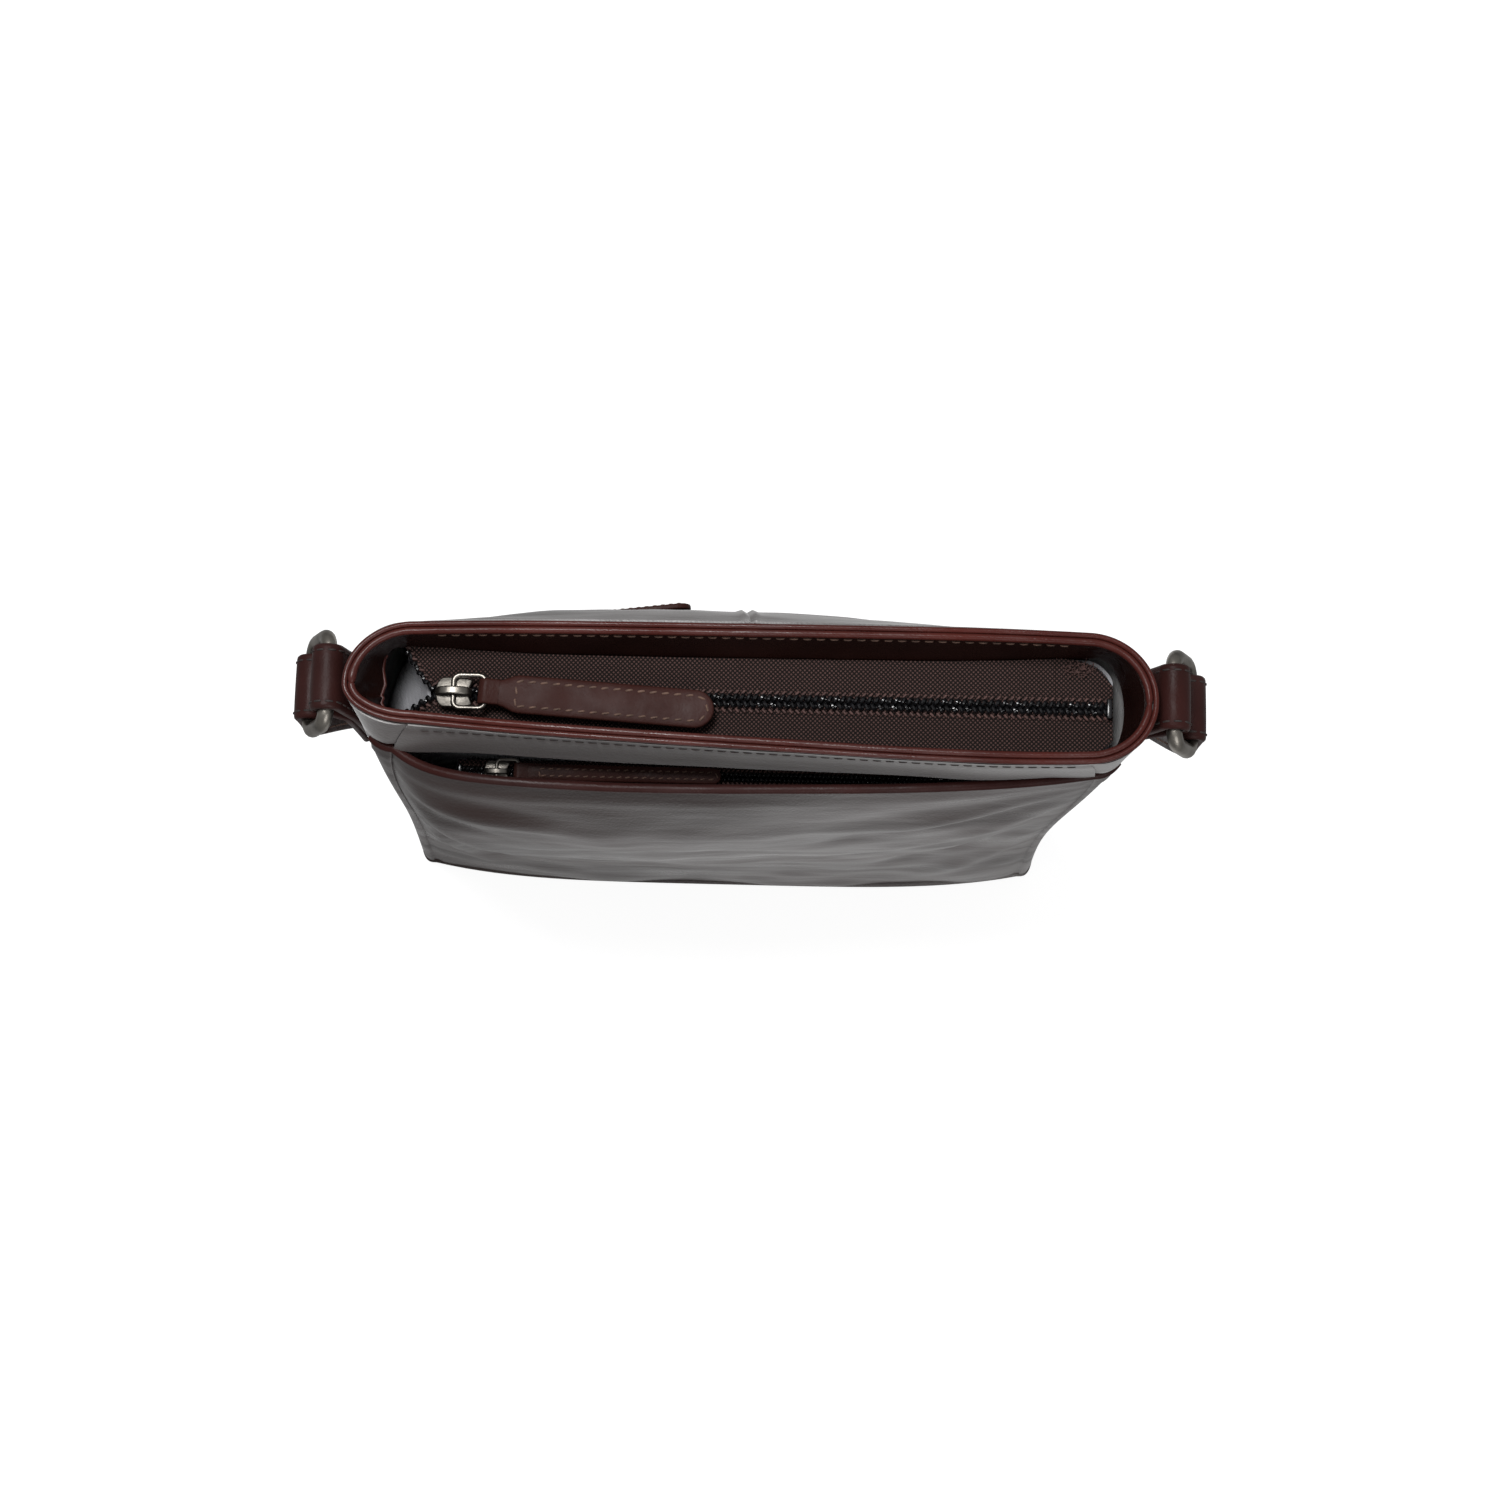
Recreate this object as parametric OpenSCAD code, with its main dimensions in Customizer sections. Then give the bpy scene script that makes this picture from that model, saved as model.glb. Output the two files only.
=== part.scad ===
// Slim leather crossbody purse with three zips, side rings and a shoulder strap.
// Millimetres. Origin on the floor under the middle of the rim, +X to the right, front towards -Y, +Z up.

/* [Bag] */
// Height from the floor to the rim
bag_h = 200; // [190:1:212]
// Depth across the middle of the rim
rim_d = 38; // [37:0.5:40]
// Width of the base
base_w = 220; // [212:1:226]
// Depth of the base
base_d = 50; // [48:1:54]
// How far the front swells beyond a straight wall
front_belly = 17; // [16:0.5:20]
// How far the back swells beyond a straight wall
back_belly = 13.5; // [13:0.5:16]
// Sideways slouch of the base under the rim
slouch = -8; // [-9:1:3]
// Leather thickness
leather = 1.8; // [1.4:0.1:2.0]
// Lining thickness
lining = 1.0; // [0.8:0.1:1.2]

/* [Zips] */
// Depth of the main zip below the rim
zip_drop = 14; // [12:0.5:16]
// Length of the main zip
zip_len = 206; // [198:1:214]
// Length of rim beyond each end of the main zip
rim_past_zip = 17; // [15:0.5:22]
// Length of the front pocket zip
pocket_zip_len = 158; // [148:1:162]
// Length of the back pocket zip
back_zip_len = 120; // [110:1:126]
// Length of a leather zip pull
pull_len = 68; // [56:1:72]

/* [Rings and strap] */
// Width of the strap and of the side tabs
strap_w = 20; // [18:0.5:21]
// Thickness of the strap
strap_t = 2.4; // [2:0.1:2.6]
// Thickness of the ring wire
ring_wire = 4.8; // [4.4:0.1:5]
// Spacing of the two bars of a ring
ring_span = 15.2; // [14.5:0.1:17]

/* [Hidden] */
$fn = 48;

leather_colour = [0.23, 0.15, 0.13];
roll_colour = [0.33, 0.17, 0.14];
lining_colour = [0.33, 0.34, 0.35];
tape_colour = [0.22, 0.14, 0.13];
coil_colour = [0.05, 0.05, 0.05];
metal_colour = [0.55, 0.53, 0.48];

rim_w = zip_len + 2 * rim_past_zip;
// Share of the middle depth that is left at the corners
corner_share = 0.78;
// How much narrower the rim's front is at the left than at the right
rim_skew = 0.24;
// How much narrower the rim's back is at the left than at the right
back_skew = 0.035;
// Where along the front the swell is full, from -1 at the left corner to 1 at the right one
front_peak = -0.4;
// Where along the back the swell is full, and how far from there it has fallen by half
back_peak = -0.15;
back_fall = 0.73;
// Part of the swell that a corner keeps
swell_end = 0.3;
// Part of the rim's depth that lies in front of the middle plane
front_share = 0.458;
base_t = 3;
edge_d = 1.7;
roll_d = 2.2;
facing_t = 1.6;
yoke_bottom = bag_h - 18;
pocket_top = bag_h - 20;
back_zip_z = bag_h - 50;
back_slot = 4.6;
back_zip_mid = -15;
zip_z = bag_h - zip_drop;
gap = 0.1;

// Shape of the bag at a height z, all as distances from the middle plane
function part_up(z) = z / bag_h;
function half_width(z) = base_w / 2 + (rim_w - base_w) / 2 * pow(part_up(z), 4) - 2 * sin(180 * part_up(z));
function shift(z) = slouch * (1 - pow(part_up(z), 2));
function end_reach(z) = 6 + 15 * pow(part_up(z), 10);
function side_half(z) = half_width(z) - end_reach(z);
function rim_mid(way) = rim_d * (way < 0 ? front_share : 1 - front_share);
function straight_depth(z, way) = base_d / 2 + (rim_mid(way) - base_d / 2) * part_up(z);
function swell(z, way) = (way < 0 ? front_belly : back_belly) * sin(180 * pow(part_up(z), 2));
function front_drop(q) = q < front_peak ? pow(-q, 12) : pow((q - front_peak) / (1 - front_peak), 1.4);
function back_drop(q) = let(f = pow((q - back_peak) / back_fall, 4)) f / (1 + f);
function hump(q, way) = 1 - (1 - swell_end) * (way < 0 ? front_drop(q) : back_drop(q));
function share(z, way) = corner_share + (way < 0 ? 0.12 : 0.17) * pow(part_up(z), 8);
function bow(x, z, way) = 1 - (1 - share(z, way)) * pow(x / side_half(z), 4);
function side_skew(way) = way < 0 ? rim_skew : back_skew;
function skew(x, z, way) = 1 + side_skew(way) * pow(part_up(z), 8) * x / side_half(z);
function depth(x, z, way) = straight_depth(z, way) * bow(x, z, way) * skew(x, z, way)
    + swell(z, way) * hump(x / side_half(z), way);

// A point of a section. u runs 0 to 1 along the front, to 2 round the right end, to 3 along the back,
// and to 4 round the left end.
function end_power(z) = 0.6 + 0.4 * part_up(z);
function end_point(side, a, z, inset) =
    let(corner = side_half(z), c = pow(max(cos(a), 0), end_power(z)), s = pow(abs(sin(a)), end_power(z)),
        way = a < 0 ? -1 : 1)
    [side * (corner + (end_reach(z) - inset) * c) + shift(z),
        way * (depth(side * corner, z, way) - inset) * s, z];
function side_point(x, z, inset, way) = [x + shift(z), way * (depth(x, z, way) - inset), z];
function outer_point(u, z, inset) = let(reach = side_half(z))
    u <= 1 ? side_point(reach * (2 * u - 1), z, inset, -1)
    : u <= 2 ? end_point(1, 180 * (u - 1.5), z, inset)
    : u <= 3 ? side_point(reach * (5 - 2 * u), z, inset, 1)
    : end_point(-1, 180 * (3.5 - u), z, inset);
function rim_point(u, z, inset) = let(p = outer_point(u, bag_h, inset)) [p[0], p[1], z];
// As deep as the rim, but no wider than the bag is at this height
function facing_point(u, z, inset) = [outer_point(u, z, inset)[0], rim_point(u, z, inset)[1], z];
function steps(from, to, count) = [for (i = [0:count]) from + (to - from) * i / count];
function turned(u) = u < 0 ? u + 4 : u > 4 ? u - 4 : u;

// A closed solid between an outer and an inner grid of points, rows from low to high
module sheet(outer, inner) {
    rows = len(outer);
    cols = len(outer[0]);
    function at(layer, r, c) = layer * rows * cols + r * cols + c;
    points = [for (layer = [outer, inner]) for (row = layer) for (p = row) p];
    skin = [for (r = [0:rows - 2]) for (c = [0:cols - 2])
        for (f = [[at(0, r, c), at(0, r + 1, c), at(0, r + 1, c + 1), at(0, r, c + 1)],
            [at(1, r, c), at(1, r, c + 1), at(1, r + 1, c + 1), at(1, r + 1, c)]]) f];
    low_high = [for (c = [0:cols - 2])
        for (f = [[at(0, 0, c), at(0, 0, c + 1), at(1, 0, c + 1), at(1, 0, c)],
            [at(0, rows - 1, c), at(1, rows - 1, c), at(1, rows - 1, c + 1), at(0, rows - 1, c + 1)]]) f];
    ends = [for (r = [0:rows - 2])
        for (f = [[at(0, r, 0), at(1, r, 0), at(1, r + 1, 0), at(0, r + 1, 0)],
            [at(0, r, cols - 1), at(0, r + 1, cols - 1), at(1, r + 1, cols - 1), at(1, r, cols - 1)]]) f];
    quads = concat(skin, low_high, ends);
    polyhedron(points, [for (q = quads) for (f = [[q[0], q[1], q[2]], [q[0], q[2], q[3]]]) f]);
}

// A leather panel of the outer wall. A slot for the back zip can be cut into its lower or upper edge.
module wall(u_from, u_to, u_count, z_from, z_to, z_count, low_slot = 0, high_slot = 0) {
    us = steps(u_from, u_to, u_count);
    function along(u) = (side_half(back_zip_z) * (5 - 2 * u) - back_zip_mid) / (back_zip_len / 2 + 6);
    function open(u) = max(1 - pow(along(u), 12), 0);
    function height(u, r) = (1 - r) * (z_from + low_slot * open(u)) + r * (z_to - high_slot * open(u));
    function face(inset) =
        [for (r = steps(0, 1, z_count)) [for (u = us) outer_point(u, height(u, r), inset)]];
    sheet(face(0), face(leather));
}

// Half of the band that hangs inside the rim
module facing(u_from, u_to) {
    zs = steps(zip_z - 3, bag_h - roll_d, 3);
    us = steps(u_from, u_to, 48);
    function face(inset) = [for (z = zs) [for (u = us) facing_point(turned(u), z, inset)]];
    color(leather_colour) sheet(face(facing_inset), face(facing_inset + facing_t));
}

// A closed rounded ridge round the rim, eight-sided
module rim_ridge(inset, d) {
    us = [for (i = [0:71]) i / 18];
    corner = d * 0.29;
    profile = [[0, corner], [0, d - corner], [corner, d], [d - corner, d],
        [d, d - corner], [d, corner], [d - corner, 0], [corner, 0]];
    points = [for (u = us) for (p = profile) rim_point(u, bag_h - d + p[1], inset + p[0])];
    count = len(us);
    polyhedron(points, [for (i = [0:count - 1]) for (k = [0:7])
        let(next = (i + 1) % count * 8, up = (k + 1) % 8)
        for (f = [[i * 8 + k, i * 8 + up, next + up], [i * 8 + k, next + up, next + k]]) f]);
}

// Body panels
module base_panel() color(leather_colour)
    linear_extrude(base_t)
        polygon([for (i = [0:95]) let(p = outer_point(i / 24, 0, 0)) [p[0], p[1]]]);

module base_board() color(lining_colour)
    translate([shift(base_t), 0, base_t]) linear_extrude(2)
        square([base_w - 24, base_d * 0.4], center = true);

// The yoke hangs straight down from the rim, and runs out to the gussets' front edges at its ends
module front_yoke() {
    zs = steps(yoke_bottom, bag_h - edge_d, 4);
    us = steps(0, 1, 32);
    function end(u) = pow(abs(2 * u - 1), 12);
    function at(u, z, inset) = let(rim = rim_point(u, z, inset), side = outer_point(u, z, inset))
        [side[0], rim[1] * (1 - end(u)) + side[1] * end(u), z];
    function face(inset) = [for (z = zs) [for (u = us) at(u, z, inset)]];
    color(leather_colour) sheet(face(0), face(leather));
}

module front_pocket_panel() color(leather_colour) wall(0, 1, 24, base_t, pocket_top, 14);

module front_pocket_edge() {
    us = steps(0.006, 0.994, 24);
    function lip(up, inset) =
        [for (u = us) let(p = outer_point(u, pocket_top, inset)) [p[0], p[1], pocket_top + up]];
    color(roll_colour) sheet([lip(0, -0.2), lip(1.2, -0.6), lip(2, 0.3)],
        [lip(0, leather + 0.2), lip(1.2, leather + 0.4), lip(2, leather - 0.3)]);
}

module back_yoke(u_from, u_to) color(leather_colour)
    wall(u_from, u_to, 12, back_zip_z, bag_h - edge_d, 6, low_slot = back_slot);
module back_yoke_left() back_yoke(2.5, 3);
module back_yoke_right() back_yoke(2, 2.5);
module back_pocket_panel() color(leather_colour)
    wall(2, 3, 24, base_t, back_zip_z, 12, high_slot = back_slot);
module gusset_left() color(leather_colour) wall(3, 4, 14, base_t, bag_h - roll_d - gap, 18);
module gusset_right() color(leather_colour) wall(1, 2, 14, base_t, bag_h - roll_d - gap, 18);

// Lining of the main compartment, which also backs the two outer pockets
lining_top = min(zip_z - 3, yoke_bottom) - 0.3;
module lining_wall(way, give) {
    zs = steps(base_t, lining_top, 10);
    us = steps(-1, 1, 16);
    top_depth = rim_mid(way) - facing_inset - facing_t + lining;
    function stand(x, z) = top_depth * bow(x, z, way) * skew(x, z, way)
        + give * pow(sin(180 * z / lining_top), 2) * hump(x / side_half(z), way);
    function face(inset) = [for (z = zs) [for (u = us) let(x = u * way * (side_half(z) - 3))
        [x + shift(z), way * (stand(x, z) - inset), z]]];
    color(lining_colour) sheet(face(0), face(lining));
}
module lining_front() lining_wall(-1, 7);
module lining_back() lining_wall(1, 5);

// Leather facing inside the rim, and the two ridges on top of it
facing_inset = leather + gap;
module facing_front() facing(-0.5, 1.5);
module facing_back() facing(1.5, 3.5);
module rim_edge() color(roll_colour) rim_ridge(0, edge_d);
module rim_roll() color(roll_colour) rim_ridge(edge_d + gap, roll_d);

// Zip dimensions in a zip's own frame: x along the chain, y across it, z out of the cloth
tape_t = 0.6;
coil_in = 0.5;
coil_out = 2.9;
coil_h = 2;
tooth_pitch = 1.6;
slider_len = 11;
bail_z = 4.6;
bail_wire = 0.8;
bail_len = 9.5;
bail_half = 5;
small_zip = 0.7;

// One side of the chain as a comb with its back on the tape, from one x to another
module coil_row(x_from, x_to, way) {
    count = floor((x_to - x_from) / tooth_pitch);
    pitch = (x_to - x_from) / count;
    comb = [for (i = [0:count - 1]) let(x = x_from + i * pitch)
        for (p = [[x, 1.6], [x, coil_in], [x + pitch * 0.6, coil_in], [x + pitch * 0.6, 1.6]])
            [p[0], way * p[1]]];
    linear_extrude(coil_h)
        polygon(concat(comb, [[x_to, way * 1.6], [x_to, way * coil_out], [x_from, way * coil_out]]));
}

module slider_outline() polygon([[-5.5, -3.6], [-4.5, -4.6], [0, -4.6], [5.5, -4.1],
    [5.5, 4.1], [0, 4.6], [-4.5, 4.6], [-5.5, 3.6]]);
module slider_body() {
    translate([0, 0, 2.3]) linear_extrude(1.2) slider_outline();
    translate([0, 0, -1.5]) linear_extrude(0.7) slider_outline();
    translate([-5, -0.35, -1]) cube([2.6, 0.7, 3.4]);
    for (way = [-1, 1])
        translate([-4.5, way * 3.65 - 0.4, 0.4]) cube([10, 0.8, 2]);
    difference() {
        union() {
            translate([-3.4, -1.6, 3.4]) cube([6.8, 3.2, 1.4]);
            translate([0, 1.6, bail_z]) rotate([90, 0, 0]) cylinder(r = 2, h = 3.2);
        }
        translate([0, 3, bail_z]) rotate([90, 0, 0]) cylinder(r = bail_wire + 0.06, h = 6);
    }
}

module wire(from, to, r) {
    d = to - from;
    translate(from) rotate([0, acos(d[2] / norm(d)), atan2(d[1], d[0])]) cylinder(r = r, h = norm(d));
}
module bail_body() {
    corners = [[0, -bail_half, bail_z], [0, bail_half, bail_z],
        [bail_len, bail_half, bail_z], [bail_len, -bail_half, bail_z]];
    for (i = [0:3]) {
        wire(corners[i], corners[(i + 1) % 4], bail_wire);
        translate(corners[i]) sphere(r = bail_wire);
    }
}

// Leather strip folded round the bail's far bar and sewn flat to itself
module pull_body(length, half) {
    neck = bail_half - bail_wire - 0.35;
    tip = bail_len + length;
    difference() {
        union() {
            translate([bail_len, neck, bail_z]) rotate([90, 0, 0]) cylinder(r = 2.2, h = 2 * neck);
            translate([bail_len, -neck, bail_z - 1.3]) cube([6, 2 * neck, 2.6]);
            translate([0, 0, bail_z - 1.3]) linear_extrude(2.6) {
                polygon([[bail_len + 3, -neck], [bail_len + 8, -half], [tip - half, -half],
                    [tip - half, half], [bail_len + 8, half], [bail_len + 3, neck]]);
                translate([tip - half, 0]) circle(r = half);
            }
        }
        translate([bail_len, 10, bail_z]) rotate([90, 0, 0]) cylinder(r = bail_wire + 0.08, h = 20);
    }
}

// Main zip, level, a little below the rim. Its two halves part at the left end, in front of the slider.
main_left = -zip_len / 2;
main_right = zip_len / 2 + 2;
main_slider_in = 15;
main_slider_x = main_left + main_slider_in;
main_part_x = main_slider_x - slider_len / 2 - 0.5;
// The last stretch of the main zip is sewn shut
main_fixed = 14;
main_fixed_x = main_right - main_fixed;
function main_spread(way) = way < 0 ? 4 : 10;
module in_main() translate([0, 0, zip_z]) children();
// How far from the middle plane the zip's tape ends, just short of the facing
function facing_in(x, way) =
    let(off = x - shift(zip_z), side = side_half(zip_z), q = max(-1, min(1, off / side)),
        inset = facing_inset + facing_t, past = max(abs(off) - side, 0) / (end_reach(zip_z) - inset),
        stand = rim_mid(way) * (1 + side_skew(way) * q) * (1 - (1 - share(bag_h, way)) * pow(q, 4)))
    (stand - inset) * sqrt(1 - past * past) - 0.3;
module main_tape(way) {
    xs = steps(main_left, main_fixed_x - gap, 16);
    color(tape_colour) in_main() translate([0, 0, -tape_t]) linear_extrude(tape_t)
        polygon(concat([for (x = xs) [x, way * facing_in(x, way)]],
            [[main_fixed_x - gap, way * coil_in], [main_part_x, way * coil_in],
                [main_left, way * (coil_in + main_spread(way))]]));
}
module main_coil(way) {
    run = main_part_x - main_left;
    spread = main_spread(way);
    color(coil_colour) in_main() {
        coil_row(main_part_x, main_fixed_x - gap, way);
        translate([main_part_x, 0, 0]) mirror([1, 0, 0]) rotate([0, 0, way * atan2(spread, run)])
            coil_row(0.9, norm([run, spread]) - 0.5, way);
    }
}
module main_tape_front() main_tape(-1);
module main_tape_back() main_tape(1);
module main_coil_front() main_coil(-1);
module main_coil_back() main_coil(1);
module main_zip_end() {
    xs = steps(main_fixed_x, main_right, 3);
    in_main() {
        color(tape_colour) for (way = [-1, 1]) translate([0, 0, -tape_t]) linear_extrude(tape_t)
            polygon(concat([for (x = xs) [x, way * (facing_in(x, way) - 0.2)]],
                [[main_right, way * coil_in], [main_fixed_x, way * coil_in]]));
        color(coil_colour) for (way = [-1, 1]) coil_row(main_fixed_x, main_right - 2, way);
    }
}
module main_zip_stop() color(coil_colour) in_main()
    translate([main_right - 1.9, -coil_out, 0]) cube([1.4, 2 * coil_out, coil_h]);
module at_main_slider() in_main() translate([main_slider_x, 0, 0]) children();
module main_slider() color(metal_colour) at_main_slider() slider_body();
module main_bail() color(metal_colour) at_main_slider() bail_body();
module main_pull() color(roll_colour) at_main_slider() pull_body(pull_len, 5.8);

// Front pocket zip, tilted forwards in the slot behind the pocket's edge
pocket_zip_z = bag_h - 32;
pocket_zip_y = -rim_mid(-1) - 2.1;
pocket_tilt = 8;
// Distance of a pocket zip's slider from the zip's end
small_slider_in = 12;
// Distance of the pocket zip's left end from the main zip's
pocket_zip_in = 15;
pocket_mid = main_left + pocket_zip_in + pocket_zip_len / 2;
module in_pocket() translate([pocket_mid, pocket_zip_y, pocket_zip_z]) rotate([pocket_tilt, 0, 0])
    scale(small_zip) children();
module small_tape(length, outer) translate([0, 0, -tape_t]) linear_extrude(tape_t)
    polygon([[-length / 2, sign(outer) * coil_in], [length / 2, sign(outer) * coil_in],
        [length / 2, outer], [-length / 2, outer]]);
module small_coil(length, way) coil_row(-length / 2 + 2, length / 2 - 2, way);
module small_stops(length) for (side = [-1, 1])
    translate([side * (length / 2 - 1) - 0.7, -coil_out, 0]) cube([1.4, 2 * coil_out, coil_h]);
pocket_len = pocket_zip_len / small_zip;
// The front tape reaches to the inside of the pocket's wall
module pocket_tape_front() {
    xs = steps(-pocket_zip_len / 2, pocket_zip_len / 2, 12);
    low = pocket_zip_z - 1;
    function edge(x) = pocket_zip_y + depth(pocket_mid + x - shift(low), low, -1) - leather - 0.4;
    color(tape_colour) in_pocket() translate([0, 0, -tape_t]) linear_extrude(tape_t)
        polygon(concat([for (x = xs) [x, -edge(x)] / small_zip],
            [[pocket_len / 2, -coil_in], [-pocket_len / 2, -coil_in]]));
}
module pocket_tape_back() color(tape_colour) in_pocket() small_tape(pocket_len, 4.9);
module pocket_coil_front() color(coil_colour) in_pocket() small_coil(pocket_len, -1);
module pocket_coil_back() color(coil_colour) in_pocket() small_coil(pocket_len, 1);
module pocket_zip_stops() color(coil_colour) in_pocket() small_stops(pocket_len);
module at_small_slider(length) translate([small_slider_in / small_zip - length / 2, 0, 0]) children();
module at_pocket_slider() in_pocket() at_small_slider(pocket_len) children();
module pocket_slider() color(metal_colour) at_pocket_slider() slider_body();
module pocket_bail() color(metal_colour) at_pocket_slider() bail_body();
module pocket_pull() color(roll_colour) at_pocket_slider() pull_body(pull_len * 0.9 / small_zip, 3.5);

// Back pocket zip, upright in the back wall and turned to lie along it
back_len = back_zip_len / small_zip;
// How far the zip's ends lie below the leather's outside
back_zip_in = leather + 0.9;
// Width of half a back zip, which reaches behind the slot's lips
back_tape = (back_slot + 0.6) / small_zip;
function back_end(side) = depth(back_zip_mid + side * back_zip_len / 2, back_zip_z, 1) - back_zip_in;
back_turn = asin((back_end(1) - back_end(-1)) / back_zip_len);
module in_back() translate([back_zip_mid + shift(back_zip_z), (back_end(1) + back_end(-1)) / 2, back_zip_z])
    rotate([0, 0, back_turn]) rotate([-90, 0, 0]) scale(small_zip) children();
module back_tape_lower() color(tape_colour) in_back() small_tape(back_len, back_tape);
module back_tape_upper() color(tape_colour) in_back() small_tape(back_len, -back_tape);
module back_coil_lower() color(coil_colour) in_back() small_coil(back_len, 1);
module back_coil_upper() color(coil_colour) in_back() small_coil(back_len, -1);
module back_zip_stops() color(coil_colour) in_back() small_stops(back_len);
module at_back_slider() in_back() at_small_slider(back_len) children();
module back_slider() color(metal_colour) at_back_slider() slider_body();
// The back zip's pull stands off the wall a little
back_lift = 7;
module lifted() translate([0, 0, bail_z]) rotate([0, -back_lift, 0]) translate([0, 0, -bail_z]) children();
module back_bail() color(metal_colour) at_back_slider() lifted() bail_body();
module back_pull() color(roll_colour) at_back_slider() lifted() pull_body(pull_len * 0.6 / small_zip, 5.8);

// Side rings. Each hangs by one bar in a leather tab, and carries the strap on the other.
ring_x = rim_w / 2 + 5.6;
ring_y = 3;
ring_z = bag_h - 10;
ring_hang = 64;
ring_r = ring_wire / 2;
ring_half = strap_w / 2 + 1 + ring_r;
loop_in = ring_r + 0.08;
loop_out = loop_in + strap_t;
low_x = ring_x + ring_span * cos(ring_hang);
low_z = ring_z - ring_span * sin(ring_hang);
ring_bend = 3.6;
module ring_right_body()
    translate([(ring_x + low_x) / 2, ring_y, (ring_z + low_z) / 2])
        rotate([0, 180 + ring_hang, 0]) rotate([0, 0, 90])
        for (turn = [0, 180]) rotate([0, 0, turn]) {
            long = ring_half - ring_bend;
            short = ring_span / 2 - ring_bend;
            translate([-long, ring_span / 2, 0]) rotate([0, 90, 0]) cylinder(r = ring_r, h = 2 * long);
            translate([ring_half, short, 0]) rotate([90, 0, 0]) cylinder(r = ring_r, h = 2 * short);
            for (way = [-1, 1]) translate([long, way * short, 0]) rotate([0, 0, way > 0 ? 0 : -90])
                rotate_extrude(angle = 90) translate([ring_bend, 0]) circle(r = ring_r);
        }
module ring_right() color(metal_colour) ring_right_body();
module ring_left() color(metal_colour) mirror([1, 0, 0]) ring_right_body();

// A strap's width of leather with an outline drawn in x and z
module strap_slice() translate([0, ring_y + strap_w / 2, 0]) rotate([90, 0, 0])
    linear_extrude(strap_w) children();

// Points of a loop's outside round a bar, between two angles
function loop_points(x, z, from, to) =
    [for (a = steps(from, to, 24)) [x + loop_out * cos(a), z + loop_out * sin(a)]];

// Tab: a loop over the ring's upper bar, its two tails laid together against the gusset
tab_gap = 0.15;
module tab_profile(side) {
    function skin_x(z, out) = half_width(z) + side * shift(z) + out;
    lay = [for (drop = [13, 22, 32, 42]) ring_z - drop];
    outside = concat([for (i = [3:-1:0]) [skin_x(lay[i], tab_gap + 2 * strap_t), lay[i]]],
        loop_points(ring_x, ring_z, -40, 143));
    inside = [for (z = concat([ring_z - 4], lay)) [skin_x(z, tab_gap), z]];
    mirror([side < 0 ? 1 : 0, 0]) difference() {
        polygon(concat(outside, inside));
        translate([ring_x, ring_z]) circle(r = loop_in);
    }
}
module tab_right() color(leather_colour) strap_slice() tab_profile(1);
module tab_left() color(leather_colour) strap_slice() tab_profile(-1);

// Strap end: a loop round the ring's lower bar, its two tails sewn together under it
end_drop = 18;
end_out = 2;
strap_tails = [for (p = [[-strap_t, 11], [-strap_t, end_drop], [strap_t, end_drop], [strap_t, 11]])
    [low_x + end_out + p[0], low_z - p[1]]];
module strap_end_profile() difference() {
    polygon(concat(loop_points(low_x, low_z, 0, 180), strap_tails));
    translate([low_x, low_z]) circle(r = loop_in);
}
module strap_end_right() color(leather_colour) strap_slice() strap_end_profile();
module strap_end_left() color(leather_colour) mirror([1, 0, 0]) strap_slice() strap_end_profile();

// Loose strap: down from each end, turning on edge to lie on the floor behind the bag
hank_near = base_d / 2 + 8;
hank_pitch = 7.5;
hank_runs = 5;
hank_half = 70;
hank_far = hank_near + hank_pitch * (hank_runs - 1);
strap_top = [low_x + end_out, ring_y, low_z - end_drop - gap];
// A point of a smooth curve pulled by its control points, s from 0 to 1
function curve(p, s) = len(p) == 1 ? p[0]
    : curve([for (i = [1:len(p) - 1]) (1 - s) * p[i - 1] + s * p[i]], s);
function slope(p, s) = curve([for (i = [1:len(p) - 1]) p[i] - p[i - 1]], s);
module strap_run(route) {
    rings = [for (s = steps(0, 1, 30)) let(c = curve(route, s), t = slope(route, s) / norm(slope(route, s)),
        raw = [0, cos(90 * s), sin(90 * s)], w = raw - (raw * t) * t,
        wide = w / norm(w) * strap_w / 2, deep = cross(t, wide) / strap_w * strap_t)
        [for (k = [[-1, -1], [-1, 1], [1, 1], [1, -1]]) c + k[0] * wide + k[1] * deep]];
    last = len(rings) - 1;
    sides = [for (i = [0:last - 1]) for (k = [0:3]) let(a = i * 4 + k, b = i * 4 + (k + 1) % 4)
        for (f = [[a, a + 4, b + 4], [a, b + 4, b]]) f];
    color(leather_colour) polyhedron([for (r = rings) for (p = r) p],
        concat(sides, [[0, 1, 2], [0, 2, 3]], [for (f = [[0, 2, 1], [0, 3, 2]]) [for (v = f) v + last * 4]]));
}
function strap_route(y) = [strap_top, strap_top - [0, 0, 12], [strap_top[0] - 2, hank_near + 12, strap_w],
    [hank_half + 40, y, strap_w / 2], [hank_half + gap, y, strap_w / 2]];
module strap_right() strap_run(strap_route(hank_far));
module strap_left() mirror([1, 0, 0]) strap_run(strap_route(hank_near));

// The rest of the strap folded to and fro on edge, one unbroken band
module strap_hank() color(leather_colour) linear_extrude(strap_w) {
    for (i = [0:hank_runs - 1])
        translate([-hank_half, hank_near + i * hank_pitch - strap_t / 2]) square([2 * hank_half, strap_t]);
    for (i = [0:hank_runs - 2]) let(side = i % 2 == 0 ? 1 : -1)
        translate([side * hank_half, hank_near + (i + 0.5) * hank_pitch]) intersection() {
            difference() {
                circle(d = hank_pitch + strap_t);
                circle(d = hank_pitch - strap_t);
            }
            translate([side > 0 ? 0 : -20, -20]) square([20, 40]);
        }
}
echo(least_gap_of_the_hank_to_itself = hank_pitch - strap_t);

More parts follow.
